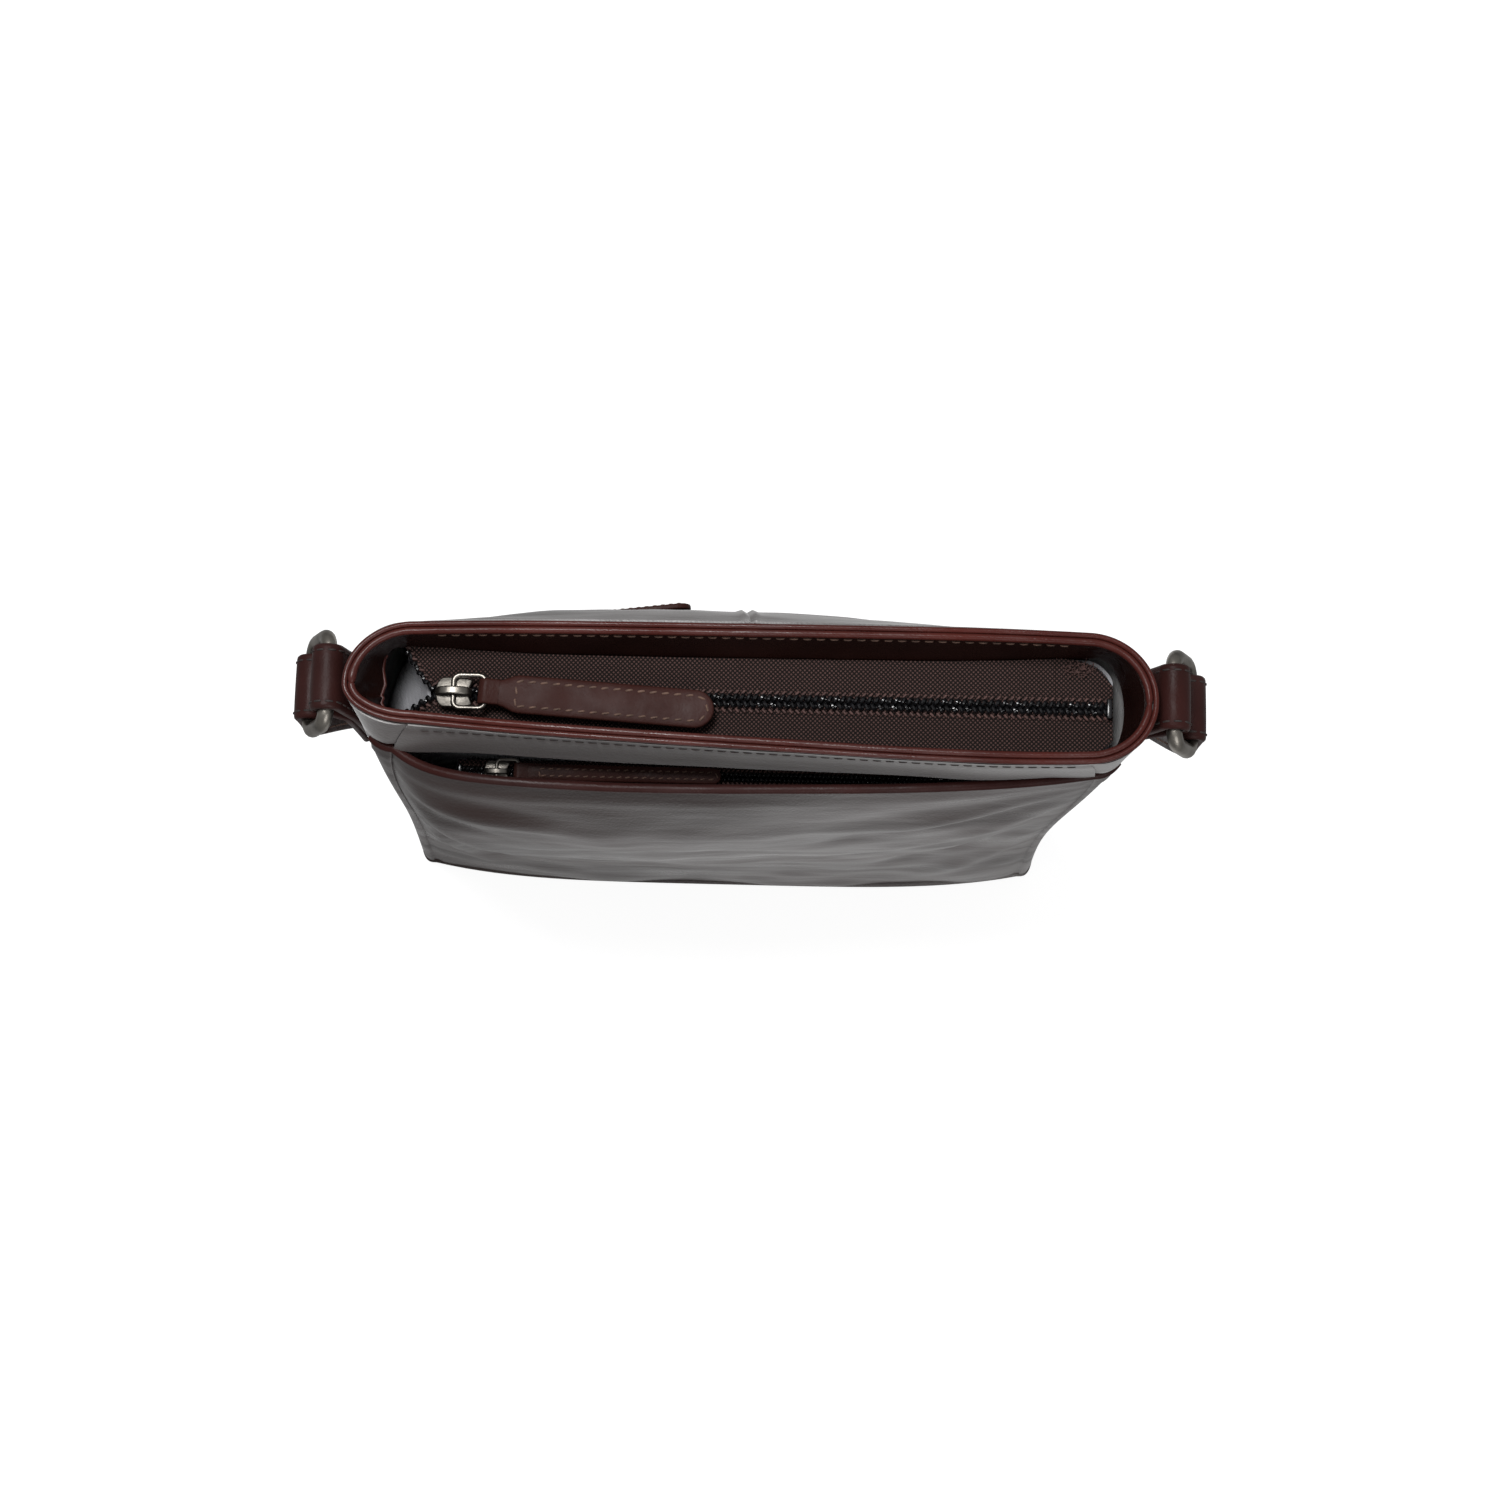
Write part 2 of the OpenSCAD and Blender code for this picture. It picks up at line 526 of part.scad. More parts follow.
base_panel();
base_board();
front_yoke();
front_pocket_panel();
front_pocket_edge();
back_yoke_left();
back_yoke_right();
back_pocket_panel();
gusset_left();
gusset_right();
lining_front();
lining_back();
facing_front();
facing_back();
rim_edge();
rim_roll();
tab_left();
tab_right();
main_tape_front();
main_tape_back();
main_coil_front();
main_coil_back();
main_zip_end();
main_zip_stop();
main_slider();
main_bail();
main_pull();
pocket_tape_front();
pocket_tape_back();
pocket_coil_front();
pocket_coil_back();
pocket_zip_stops();
pocket_slider();
pocket_bail();
pocket_pull();
back_tape_lower();
back_tape_upper();
back_coil_lower();
back_coil_upper();
back_zip_stops();
back_slider();
back_bail();
back_pull();
ring_left();
ring_right();
strap_end_left();
strap_end_right();
strap_left();
strap_right();
strap_hank();
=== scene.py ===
# Leather crossbody purse standing on a white studio floor.
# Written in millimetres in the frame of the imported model, and scaled to metres as each mesh is made.
import math

import bmesh
import bpy
from mathutils import Matrix, Vector, geometry, noise


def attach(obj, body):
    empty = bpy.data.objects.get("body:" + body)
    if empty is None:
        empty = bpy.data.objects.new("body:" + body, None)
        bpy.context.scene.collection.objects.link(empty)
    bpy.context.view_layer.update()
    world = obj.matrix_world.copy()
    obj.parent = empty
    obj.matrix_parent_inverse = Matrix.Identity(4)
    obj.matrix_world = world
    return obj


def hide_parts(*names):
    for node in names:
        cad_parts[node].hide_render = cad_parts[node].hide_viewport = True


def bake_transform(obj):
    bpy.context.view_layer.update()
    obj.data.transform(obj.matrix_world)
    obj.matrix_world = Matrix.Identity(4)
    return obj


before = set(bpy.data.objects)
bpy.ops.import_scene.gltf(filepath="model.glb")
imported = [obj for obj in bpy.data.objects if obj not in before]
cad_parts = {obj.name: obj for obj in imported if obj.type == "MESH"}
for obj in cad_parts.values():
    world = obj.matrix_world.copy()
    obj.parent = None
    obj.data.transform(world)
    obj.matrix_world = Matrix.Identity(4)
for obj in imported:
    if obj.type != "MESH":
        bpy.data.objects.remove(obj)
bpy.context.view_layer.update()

MM = 0.001

# Driving sizes, the same as the part's
bag_h = 200
rim_d = 38
base_w = 220
base_d = 50
front_belly = 17
back_belly = 13.5
slouch = -8
leather = 1.8
lining = 1.0
zip_z = bag_h - 14
zip_len = 206
rim_w = zip_len + 34
pocket_zip_len = 158
back_zip_len = 120
pull_len = 68
strap_w = 20
strap_t = 2.4
ring_r = 2.4
ring_span = 15.2
corner_share = 0.78
rim_skew = 0.24
back_skew = 0.035
front_peak = -0.4
back_peak = -0.15
back_fall = 0.73
swell_end = 0.3
front_share = 0.458
base_t = 3
edge_d = 1.7
roll_d = 2.2
facing_inset = 1.9
facing_t = 1.6
yoke_bottom = bag_h - 18
pocket_top = bag_h - 20
back_zip_z = bag_h - 50
back_slot = 4.6
back_zip_mid = -15

# Camera: steeply down from a little in front of the bag
view_pitch = math.radians(78)
view_yaw = math.radians(1.4)
view_from = Vector((4.7, -193.6, 1027.8))
forward = Matrix.Rotation(view_yaw, 3, "Z") @ Vector((0, math.cos(view_pitch), -math.sin(view_pitch)))
camera = bpy.data.objects.new("camera", bpy.data.cameras.new("camera"))
camera.data.lens = 69.6
camera.location = view_from * MM
camera.rotation_euler = forward.to_track_quat("-Z", "Y").to_euler()
bpy.context.collection.objects.link(camera)
bpy.context.scene.camera = camera
bpy.context.scene.view_settings.view_transform = "Standard"


# Shape of the bag at a height z, as distances from the middle plane
def part_up(z):
    return z / bag_h


def half_width(z):
    t = part_up(z)
    return base_w / 2 + (rim_w - base_w) / 2 * t ** 4 - 2 * math.sin(math.pi * t)


def shift(z):
    return slouch * (1 - part_up(z) ** 2)


def end_reach(z):
    return 6 + 15 * part_up(z) ** 10


def side_half(z):
    return half_width(z) - end_reach(z)


def rim_mid(way):
    return rim_d * (front_share if way < 0 else 1 - front_share)


def straight_depth(z, way):
    return base_d / 2 + (rim_mid(way) - base_d / 2) * part_up(z)


def swell(z, way):
    belly = front_belly if way < 0 else back_belly
    return belly * math.sin(math.pi * part_up(z) ** 2)


def front_drop(q):
    return (-q) ** 12 if q < front_peak else ((q - front_peak) / (1 - front_peak)) ** 1.4


def back_drop(q):
    f = ((q - back_peak) / back_fall) ** 4
    return f / (1 + f)


def hump(q, way):
    """Part of the swell that shows at a place along a side, from -1 at the left corner to 1 at the right."""
    return 1 - (1 - swell_end) * (front_drop(q) if way < 0 else back_drop(q))


def share(z, way):
    return corner_share + (0.12 if way < 0 else 0.17) * part_up(z) ** 8


def bow(x, z, way):
    return 1 - (1 - share(z, way)) * (x / side_half(z)) ** 4


def side_skew(way):
    return rim_skew if way < 0 else back_skew


def skew(x, z, way):
    return 1 + side_skew(way) * part_up(z) ** 8 * x / side_half(z)


def depth_at(x, z, way):
    straight = straight_depth(z, way) * bow(x, z, way) * skew(x, z, way)
    return straight + swell(z, way) * hump(x / side_half(z), way)


# A point of a section: u runs 0 to 1 along the front, to 2 round the right end, to 3 along the back
# and to 4 round the left end
def end_point(side, turn, z, inset):
    corner = side_half(z)
    power = 0.6 + 0.4 * part_up(z)
    out = max(math.cos(turn), 0) ** power
    along = abs(math.sin(turn)) ** power
    way = -1 if turn < 0 else 1
    x = side * (corner + (end_reach(z) - inset) * out) + shift(z)
    return Vector((x, way * (depth_at(side * corner, z, way) - inset) * along, z))


def side_point(x, z, inset, way):
    return Vector((x + shift(z), way * (depth_at(x, z, way) - inset), z))


def outer_point(u, z, inset):
    u = u % 4
    reach = side_half(z)
    if u <= 1:
        return side_point(reach * (2 * u - 1), z, inset, -1)
    if u <= 2:
        return end_point(1, math.pi * (u - 1.5), z, inset)
    if u <= 3:
        return side_point(reach * (5 - 2 * u), z, inset, 1)
    return end_point(-1, math.pi * (3.5 - u), z, inset)


def rim_point(u, z, inset):
    p = outer_point(u, bag_h, inset)
    return Vector((p.x, p.y, z))


# As deep as the rim, but no wider than the bag is at this height
def facing_point(u, z, inset):
    return Vector((outer_point(u, z, inset).x, rim_point(u, z, inset).y, z))


# Small helpers for lists of points
def steps(start, end, count):
    return [start + (end - start) * i / count for i in range(count + 1)]


def smooth_step(low, high, value):
    t = min(max((value - low) / (high - low), 0), 1)
    return t * t * (3 - 2 * t)


def ripple(x, y, z, size):
    return noise.noise(Vector((x, y, z)) / size)


def tangents(path, closed=False):
    count = len(path)
    found = []
    for i in range(count):
        before = path[i - 1] if closed or i > 0 else path[0]
        after = path[(i + 1) % count] if closed or i < count - 1 else path[-1]
        found.append((after - before).normalized())
    return found


def each(direction, path):
    """One direction, given for every point of a path."""
    return [Vector(direction)] * len(path)


def bezier(points, s):
    while len(points) > 1:
        points = [a.lerp(b, s) for a, b in zip(points, points[1:])]
    return points[0]


def walk(path, pitch):
    """Points a pitch apart along a path, each with its direction and its place in the list."""
    found = []
    left = pitch / 2
    for i, (a, b) in enumerate(zip(path, path[1:])):
        span = (b - a).length
        while left <= span and span > 0:
            found.append((a.lerp(b, left / span), (b - a) / span, i))
            left += pitch
        left -= span
    return found


# Shapes, each a list of points and a list of faces
def loft(rings, closed=False):
    count = len(rings)
    sides = len(rings[0])
    points = [p for ring in rings for p in ring]
    faces = []
    for i in range(count if closed else count - 1):
        a = i * sides
        b = (i + 1) % count * sides
        for k in range(sides):
            n = (k + 1) % sides
            faces.append((a + k, b + k, b + n, a + n))
    if not closed:
        faces.append(tuple(range(sides)))
        faces.append(tuple(range(len(points) - sides, len(points))))
    return points, faces


def merge(shapes):
    points = []
    faces = []
    for more_points, more_faces in shapes:
        faces += [tuple(v + len(points) for v in face) for face in more_faces]
        points += more_points
    return points, faces


def sweep(path, wides, section, closed=False, scales=None):
    """A section of (across, out) pairs carried along a path whose width directions are given."""
    rings = []
    for i, (p, t, wide) in enumerate(zip(path, tangents(path, closed), wides)):
        wide = (wide - t * wide.dot(t)).normalized()
        deep = t.cross(wide)
        size = scales[i] if scales else 1
        rings.append([p + (wide * a + deep * b) * size for a, b in section])
    return loft(rings, closed)


def circle(radius, sides):
    return [(radius * math.cos(2 * math.pi * k / sides), radius * math.sin(2 * math.pi * k / sides))
            for k in range(sides)]


def tube(path, radius, sides=10, closed=False):
    """A round wire, its section turned along with the path."""
    turned = tangents(path, closed)
    wide = turned[0].orthogonal()
    wides = [wide]
    for a, b in zip(turned, turned[1:]):
        wide = a.rotation_difference(b) @ wide
        wides.append(wide)
    return sweep(path, wides, circle(radius, sides), closed)


def strip(width, thick):
    """Section of a strap: flat, a little proud in the middle, with rounded edges."""
    half = width / 2
    r = thick / 2
    edge = [(half - r + r * math.cos(a), r * math.sin(a)) for a in steps(-math.pi / 2, math.pi / 2, 6)]
    crown = [(half * q, r * (1 + 0.08 * (1 - q * q))) for q in (0.6, 0.3, 0, -0.3, -0.6)]
    top = edge + crown
    return top + [(-a, -b) for a, b in top]


def inset_outline(outline, distance):
    count = len(outline)
    found = []
    for i, (x, y) in enumerate(outline):
        before = Vector(outline[i - 1])
        after = Vector(outline[(i + 1) % count])
        here = Vector((x, y))
        a = (here - before).normalized()
        b = (after - here).normalized()
        normal = (Vector((-a.y, a.x)) + Vector((-b.y, b.x))).normalized()
        found.append(here + normal * distance / max(normal.dot(Vector((-a.y, a.x))), 0.4))
    return found


def plate(outline, low, high, round_r, pillow=0):
    """A flat plate with rounded edges, its outline given anticlockwise."""
    layers = [(round_r, low), (0.3 * round_r, low + 0.3 * round_r), (0, low + round_r),
              (0, high - round_r), (0.3 * round_r, high - 0.3 * round_r), (round_r, high)]
    if pillow:
        layers.append((round_r + 1.2, high + pillow))
    rings = [[Vector((p.x, p.y, z)) for p in inset_outline(outline, inset)] for inset, z in layers]
    return loft(rings)


def stitches(path, ups, pitch, length, radius, slant=0):
    """Thread lying along a seam: one short rounded stroke to a stitch, its ends pulled in."""
    shapes = []
    for point, along, i in walk(path, pitch):
        up = ups[i]
        along = Matrix.Rotation(slant, 3, up) @ along
        side = up.cross(along).normalized()
        rings = []
        for q, size in ((-0.5, 0.35), (-0.38, 0.85), (0, 1), (0.38, 0.85), (0.5, 0.35)):
            middle = point + along * q * length + up * radius * (size - 0.9)
            rings.append([middle + (side * a + up * b) * size for a, b in circle(radius, 6)])
        shapes.append(loft(rings))
    return merge(shapes)


# Materials
class Shader:
    """A material under construction: one surface and the textures that feed it."""

    def __init__(self, name, roughness, metallic=0):
        self.material = bpy.data.materials.new(name)
        self.material.use_nodes = True
        self.nodes = self.material.node_tree.nodes
        self.surface = self.nodes["Principled BSDF"]
        self.surface.inputs["Roughness"].default_value = roughness
        self.surface.inputs["Metallic"].default_value = metallic
        self.place = self.nodes.new("ShaderNodeTexCoord").outputs["Object"]

    def link(self, source, target):
        self.material.node_tree.links.new(source, target)

    def mapped(self, **settings):
        node = self.nodes.new("ShaderNodeMapping")
        for socket, value in settings.items():
            node.inputs[socket].default_value = value
        self.link(self.place, node.inputs["Vector"])
        return node.outputs["Vector"]

    def cloud(self, size, detail=3, stretch=(1, 1, 1)):
        node = self.nodes.new("ShaderNodeTexNoise")
        node.inputs["Scale"].default_value = 1 / (size * MM)
        node.inputs["Detail"].default_value = detail
        self.link(self.mapped(Scale=stretch), node.inputs["Vector"])
        return node.outputs["Fac"]

    def cells(self, size):
        node = self.nodes.new("ShaderNodeTexVoronoi")
        node.feature = "SMOOTH_F1"
        node.inputs["Scale"].default_value = 1 / (size * MM)
        self.link(self.place, node.inputs["Vector"])
        return node.outputs["Distance"]

    def bands(self, pitch, direction, slant=0):
        node = self.nodes.new("ShaderNodeTexWave")
        node.bands_direction = direction
        node.inputs["Scale"].default_value = math.pi / (10 * pitch * MM)
        node.inputs["Distortion"].default_value = 0.4
        self.link(self.mapped(Rotation=(0, 0, slant)), node.inputs["Vector"])
        return node.outputs["Fac"]

    def maths(self, operation, *terms):
        """One operation on terms that are numbers or outputs of other nodes."""
        node = self.nodes.new("ShaderNodeMath")
        node.operation = operation
        for term, socket in zip(terms, node.inputs):
            if isinstance(term, float):
                socket.default_value = term
            else:
                self.link(term, socket)
        return node.outputs["Value"]

    def tone(self, factor, dark, light, low=0.3, high=0.7):
        node = self.nodes.new("ShaderNodeValToRGB")
        node.color_ramp.elements[0].position = low
        node.color_ramp.elements[0].color = (*dark, 1)
        node.color_ramp.elements[1].position = high
        node.color_ramp.elements[1].color = (*light, 1)
        self.link(factor, node.inputs["Fac"])
        self.link(node.outputs["Color"], self.surface.inputs["Base Color"])

    def vary(self, socket, factor, low, high):
        node = self.nodes.new("ShaderNodeMapRange")
        node.inputs["From Min"].default_value = 0.3
        node.inputs["From Max"].default_value = 0.7
        node.inputs["To Min"].default_value = low
        node.inputs["To Max"].default_value = high
        self.link(factor, node.inputs["Value"])
        self.link(node.outputs["Result"], self.surface.inputs[socket])

    def patch(self, centre, reach):
        """One at a place, falling to nothing at a distance from it, both in metres."""
        start = [-c / r for c, r in zip(centre, reach)]
        node = self.nodes.new("ShaderNodeTexGradient")
        node.gradient_type = "SPHERICAL"
        self.link(self.mapped(Location=start, Scale=[1 / r for r in reach]), node.inputs["Vector"])
        return node.outputs["Fac"]

    def relief(self, *heights):
        """Bumps, finest last, each a texture and its height in millimetres."""
        before = None
        for texture, height in heights:
            node = self.nodes.new("ShaderNodeBump")
            node.inputs["Distance"].default_value = height * MM
            self.link(texture, node.inputs["Height"])
            if before:
                self.link(before, node.inputs["Normal"])
            before = node.outputs["Normal"]
        self.link(before, self.surface.inputs["Normal"])


def leather_shader(name, dark, light, gloss, shine=0.5, grain=0.05, streak=1, sheen=0):
    """Leather with pores and patches; a low streak draws its patches and sheen out along x."""
    shader = Shader(name, gloss)
    shader.surface.inputs["Sheen Weight"].default_value = sheen
    shader.surface.inputs["Sheen Roughness"].default_value = 0.4
    shader.tone(shader.cloud(24, 5, (streak, 1, 1)), dark, light)
    shader.vary("Roughness", shader.cloud(9, 5, (streak, 1, 1)), gloss - 0.08, gloss + 0.1)
    shader.vary("Specular IOR Level", shader.cloud(34, 4, (streak, 1, 1)), shine * 0.3, shine * 1.6)
    shader.relief((shader.cloud(8, 3, (streak, 1, 1)), 0.35), (shader.cells(0.8), grain),
                  (shader.cloud(0.35, 2), grain * 0.6))
    return shader


def leather_material(*looks):
    return leather_shader(*looks).material


def woven_material(name, dark, light, pitch, slant=0):
    shader = Shader(name, 0.85)
    shader.surface.inputs["Specular IOR Level"].default_value = 0.2
    weave = shader.maths("MULTIPLY", shader.bands(pitch, "X", slant), shader.bands(pitch, "Y", slant))
    shader.tone(weave, dark, light, 0.08, 0.7)
    shader.relief((weave, 0.3 * pitch))
    return shader.material


def plain_material(name, colour, roughness, metallic, size, height):
    shader = Shader(name, roughness, metallic)
    drift = shader.cloud(size, 4)
    shader.tone(drift, [c * 0.6 for c in colour], [min(c * 1.3, 1) for c in colour])
    shader.relief((shader.cloud(size * 0.25, 3), height))
    return shader.material


# Panel, yoke and back are one leather, here in three copies whose tone and sheen differ only for the light
# on each part: the yoke's copy, used on the gussets too, is lighter and greyer with strong painted sheen,
# and the back's has more painted sheen than the panel's.
panel_leather = leather_material("panel_leather", (0.011, 0.005, 0.0042), (0.03, 0.015, 0.013), 0.33, 0.45,
                                 0.05, 0.2, 0.02)
yoke_shader = leather_shader("yoke_leather_painted_sheen", (0.018, 0.011, 0.01), (0.04, 0.028, 0.026),
                             0.36, 0.5, 0.05, 0.2)
# Painted highlight: the yoke's sheen rises towards a spot near its right end.
yoke_shader.vary("Sheen Weight", yoke_shader.patch((0.1, 0, 0.19), (0.26, 1, 1)), 0.5, 1)
yoke_leather_painted_sheen = yoke_shader.material
back_leather_painted_sheen = leather_material("back_leather_painted_sheen", (0.014, 0.007, 0.006), (0.03, 0.016, 0.014), 0.36, 0.5,
                                0.035, 0.22, 0.15)
trim_leather = leather_material("trim_leather", (0.045, 0.0095, 0.0075), (0.07, 0.016, 0.0125), 0.3, 0.22)
pull_leather = leather_material("pull_leather", (0.025, 0.0078, 0.006), (0.04, 0.013, 0.0105), 0.48, 0.12)
strap_leather = leather_material("strap_leather", (0.021, 0.0066, 0.0058), (0.034, 0.0108, 0.0096),
                                 0.42, 0.12)
# Painted shade: the facing inside the rim is coloured near-black, darker than the panel's leather, as it
# looks in shade.
facing_leather_painted_shade = leather_material("facing_leather_painted_shade", (0.008, 0.0028, 0.0022), (0.015, 0.0052, 0.0042),
                                  0.28, 0.2)
lining_cloth = woven_material("lining_cloth", (0.32, 0.32, 0.34), (0.5, 0.5, 0.52), 0.5)
tape_cloth = woven_material("tape_cloth", (0.004, 0.002, 0.0016), (0.1, 0.056, 0.05), 0.95, math.pi / 4)
board = plain_material("board", (0.09, 0.09, 0.09), 0.8, 0, 6, 0.05)
coil_plastic = plain_material("coil_plastic", (0.006, 0.006, 0.007), 0.2, 0, 3, 0.01)
nickel = plain_material("nickel", (0.2, 0.185, 0.165), 0.36, 1, 5, 0.06)
tan_thread = plain_material("tan_thread", (0.115, 0.064, 0.046), 0.75, 0, 2, 0.05)
brown_thread = plain_material("brown_thread", (0.075, 0.036, 0.031), 0.75, 0, 2, 0.05)
dark_thread = plain_material("dark_thread", (0.018, 0.01, 0.009), 0.7, 0, 2, 0.05)


def piece(name, shape, material, body=None, replaces=(), place=None, sharp=50):
    """A mesh of the bag, in metres, that moves with a body and stands for some nodes of the frame."""
    points, faces = shape
    if place:
        points = [place @ p for p in points]
    mesh = bpy.data.meshes.new(name)
    mesh.from_pydata([p * MM for p in points], [], faces)
    work = bmesh.new()
    work.from_mesh(mesh)
    bmesh.ops.recalc_face_normals(work, faces=work.faces)
    work.to_mesh(mesh)
    work.free()
    mesh.shade_smooth()
    mesh.set_sharp_from_angle(angle=math.radians(sharp))
    mesh.materials.append(material)
    obj = bpy.data.objects.new(name, mesh)
    bpy.context.collection.objects.link(obj)
    if body:
        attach(obj, body)
    if replaces:
        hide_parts(*replaces)
    return obj


# Strap: a stretch down from each ring, and the rest folded on edge behind the bag
ring_x = rim_w / 2 + 5.6
ring_y = 3
ring_z = bag_h - 10
hang = math.radians(64)
low_x = ring_x + ring_span * math.cos(hang)
low_z = ring_z - ring_span * math.sin(hang)
end_out = 2
end_drop = 18
hank_half = 70
hank_near = base_d / 2 + 8
hank_pitch = 7.5
hank_runs = 5
hank_far = hank_near + hank_pitch * (hank_runs - 1)
hank_z = strap_w / 2 + 0.4
strap_top = Vector((low_x + end_out, ring_y, low_z - end_drop - 0.1))
seam_in = 2.2


def strap_path(side, y):
    pulls = [strap_top, strap_top - Vector((0, 0, 12)), Vector((strap_top.x - 2, hank_near + 12, strap_w)),
             Vector((hank_half + 40, y, strap_w / 2)), Vector((hank_half + 0.1, y, strap_w / 2))]
    mirror = Vector((side, 1, 1))
    return [bezier(pulls, s) * mirror for s in steps(0, 1, 60)]


def twist(path):
    """Width directions of a strap that hangs flat to the bag's end and comes to lie on edge."""
    quarter = math.pi / 2 / (len(path) - 1)
    return [Vector((0, math.cos(quarter * i), math.sin(quarter * i))) for i in range(len(path))]


def edge_seams(path, wides, width, thick, faces=(1, -1)):
    """Rows of stitches along both edges of a strap."""
    shapes = []
    for edge in (-1, 1):
        for face in faces:
            seam = []
            ups = []
            for p, t, wide in zip(path, tangents(path), wides):
                wide = (wide - t * wide.dot(t)).normalized()
                up = t.cross(wide) * face
                seam.append(p + wide * edge * (width / 2 - seam_in) + up * (thick / 2 + 0.05))
                ups.append(up)
            shapes.append(stitches(seam, ups, 3.6, 2.5, 0.32))
    return merge(shapes)


def strap_stretch(name, side, y):
    path = strap_path(side, y)
    wides = twist(path)
    band = piece(name, sweep(path, wides, strip(strap_w, strap_t)), strap_leather, replaces=[name])
    seams = piece(name + "_seams", edge_seams(path, wides, strap_w, strap_t), tan_thread)
    for obj in (band, seams):
        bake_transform(obj)
    return band, seams, path


def hank_path():
    path = []
    for i in range(hank_runs):
        way = -1 if i % 2 else 1
        y = hank_near + i * hank_pitch
        path += [Vector((x, y, hank_z)) for x in steps(-way * hank_half, way * hank_half, 28)]
        if i < hank_runs - 1:
            middle = Vector((way * hank_half, y + hank_pitch / 2, hank_z))
            path += [middle + Vector((way * math.cos(a), math.sin(a), 0)) * hank_pitch / 2
                     for a in steps(-math.pi / 2, math.pi / 2, 12)[1:-1]]
    return path


left_strap, left_seams, left_path = strap_stretch("strap_left", -1, hank_near)
right_strap, right_seams, right_path = strap_stretch("strap_right", 1, hank_far)
folded_path = hank_path()
upright = each((0, 0, 1), folded_path)
hank = piece("strap_hank", sweep(folded_path, upright, strip(strap_w - 1, strap_t)), strap_leather,
             "bag", ["strap_hank"])
hank_seams = piece("strap_hank_seams", edge_seams(folded_path, upright, strap_w - 1, strap_t), tan_thread,
                   "bag")


def tie_path():
    """Round the folded strap, close to it."""
    clear = 0.5
    low = clear
    high = strap_w + clear
    near = hank_near - strap_t / 2 - clear
    far = hank_far + strap_t / 2 + clear
    corners = [(near, low), (far, low), (far, high), (near, high)]
    path = []
    for i, (y, z) in enumerate(corners):
        next_y, next_z = corners[(i + 1) % 4]
        path += [Vector((0, y + (next_y - y) * q, z + (next_z - z) * q)) for q in steps(0.06, 0.94, 8)]
    return path


tie_line = tie_path()
tie = piece("strap_tie", sweep(tie_line, each((1, 0, 0), tie_line), strip(9, 0.8), closed=True),
            trim_leather, "bag")


# Floor, surroundings and lights
def floor_material():
    """White where the camera sees it; in reflections it glows as painted reflections on the bag, bright only
    before and behind the bag.
    """
    shader = Shader("floor", 1)
    shader.surface.inputs["Base Color"].default_value = (0.3, 0.3, 0.3, 1)
    rays = shader.nodes.new("ShaderNodeLightPath").outputs
    seen_glow = 0.84
    patch_glow = 0.9
    dim_glow = 0.05
    # Painted reflections: for glossy rays the floor glows strongly in two patches before and behind the bag
    # and dimly elsewhere.
    before = shader.patch((0.03, -0.15, 0), (0.2, 0.3, 1))
    behind = shader.patch((0.06, 0.2, 0), (0.22, 0.3, 1))
    mirrored = shader.maths("MULTIPLY_ADD", shader.maths("MAXIMUM", before, behind), patch_glow, dim_glow)
    painted_reflection_glow = shader.maths("MULTIPLY", mirrored, rays["Is Glossy Ray"])
    glow = shader.maths("MULTIPLY_ADD", rays["Is Camera Ray"], seen_glow, painted_reflection_glow)
    shader.surface.inputs["Emission Color"].default_value = (1, 1, 1, 1)
    shader.link(glow, shader.surface.inputs["Emission Strength"])
    return shader.material


def area_light(name, place, target, size, power):
    lamp = bpy.data.lights.new(name, "AREA")
    lamp.shape = "DISK"
    lamp.size = size
    lamp.energy = power
    obj = bpy.data.objects.new(name, lamp)
    obj.location = place
    obj.rotation_euler = (Vector(target) - Vector(place)).to_track_quat("-Z", "Y").to_euler()
    bpy.context.collection.objects.link(obj)


floor_mesh = bpy.data.meshes.new("floor")
floor_half = 40
floor_corners = [(x * floor_half, y * floor_half, -0.0005) for x, y in ((-1, -1), (1, -1), (1, 1), (-1, 1))]
floor_mesh.from_pydata(floor_corners, [], [(0, 1, 2, 3)])
floor_mesh.materials.append(floor_material())
floor = bpy.data.objects.new("floor", floor_mesh)
bpy.context.collection.objects.link(floor)
world = bpy.data.worlds.new("studio")
world.use_nodes = True
world.node_tree.nodes["Background"].inputs["Color"].default_value = (1, 1, 1, 1)
world.node_tree.nodes["Background"].inputs["Strength"].default_value = 0.42
bpy.context.scene.world = world
area_light("key", (-0.3, 0.35, 1.9), (0, 0, 0.15), size=0.6, power=26)
area_light("fill", (0.6, -1.3, 1.2), (0, 0, 0.15), size=1.2, power=10)


# Leather panels
def fold_depth(x, z, folds):
    """Height of a panel's folds at a point: each a curve through three points, with a height and a width."""
    here = Vector((x, z))
    parts = 10
    total = 0
    for start, middle, end, height, width in folds:
        line = [bezier([Vector(start), Vector(middle), Vector(end)], s) for s in steps(0, 1, parts)]
        best = None
        for i, (a, b) in enumerate(zip(line, line[1:])):
            q = min(max(geometry.intersect_point_line(here, a, b)[1], 0), 1)
            gap = (here - a.lerp(b, q)).length
            if best is None or gap < best[0]:
                best = (gap, (i + q) / parts)
        gap, along = best
        total += height * math.exp(-(gap / width) ** 2) * math.sin(math.pi * (0.1 + 0.85 * along))
    return total


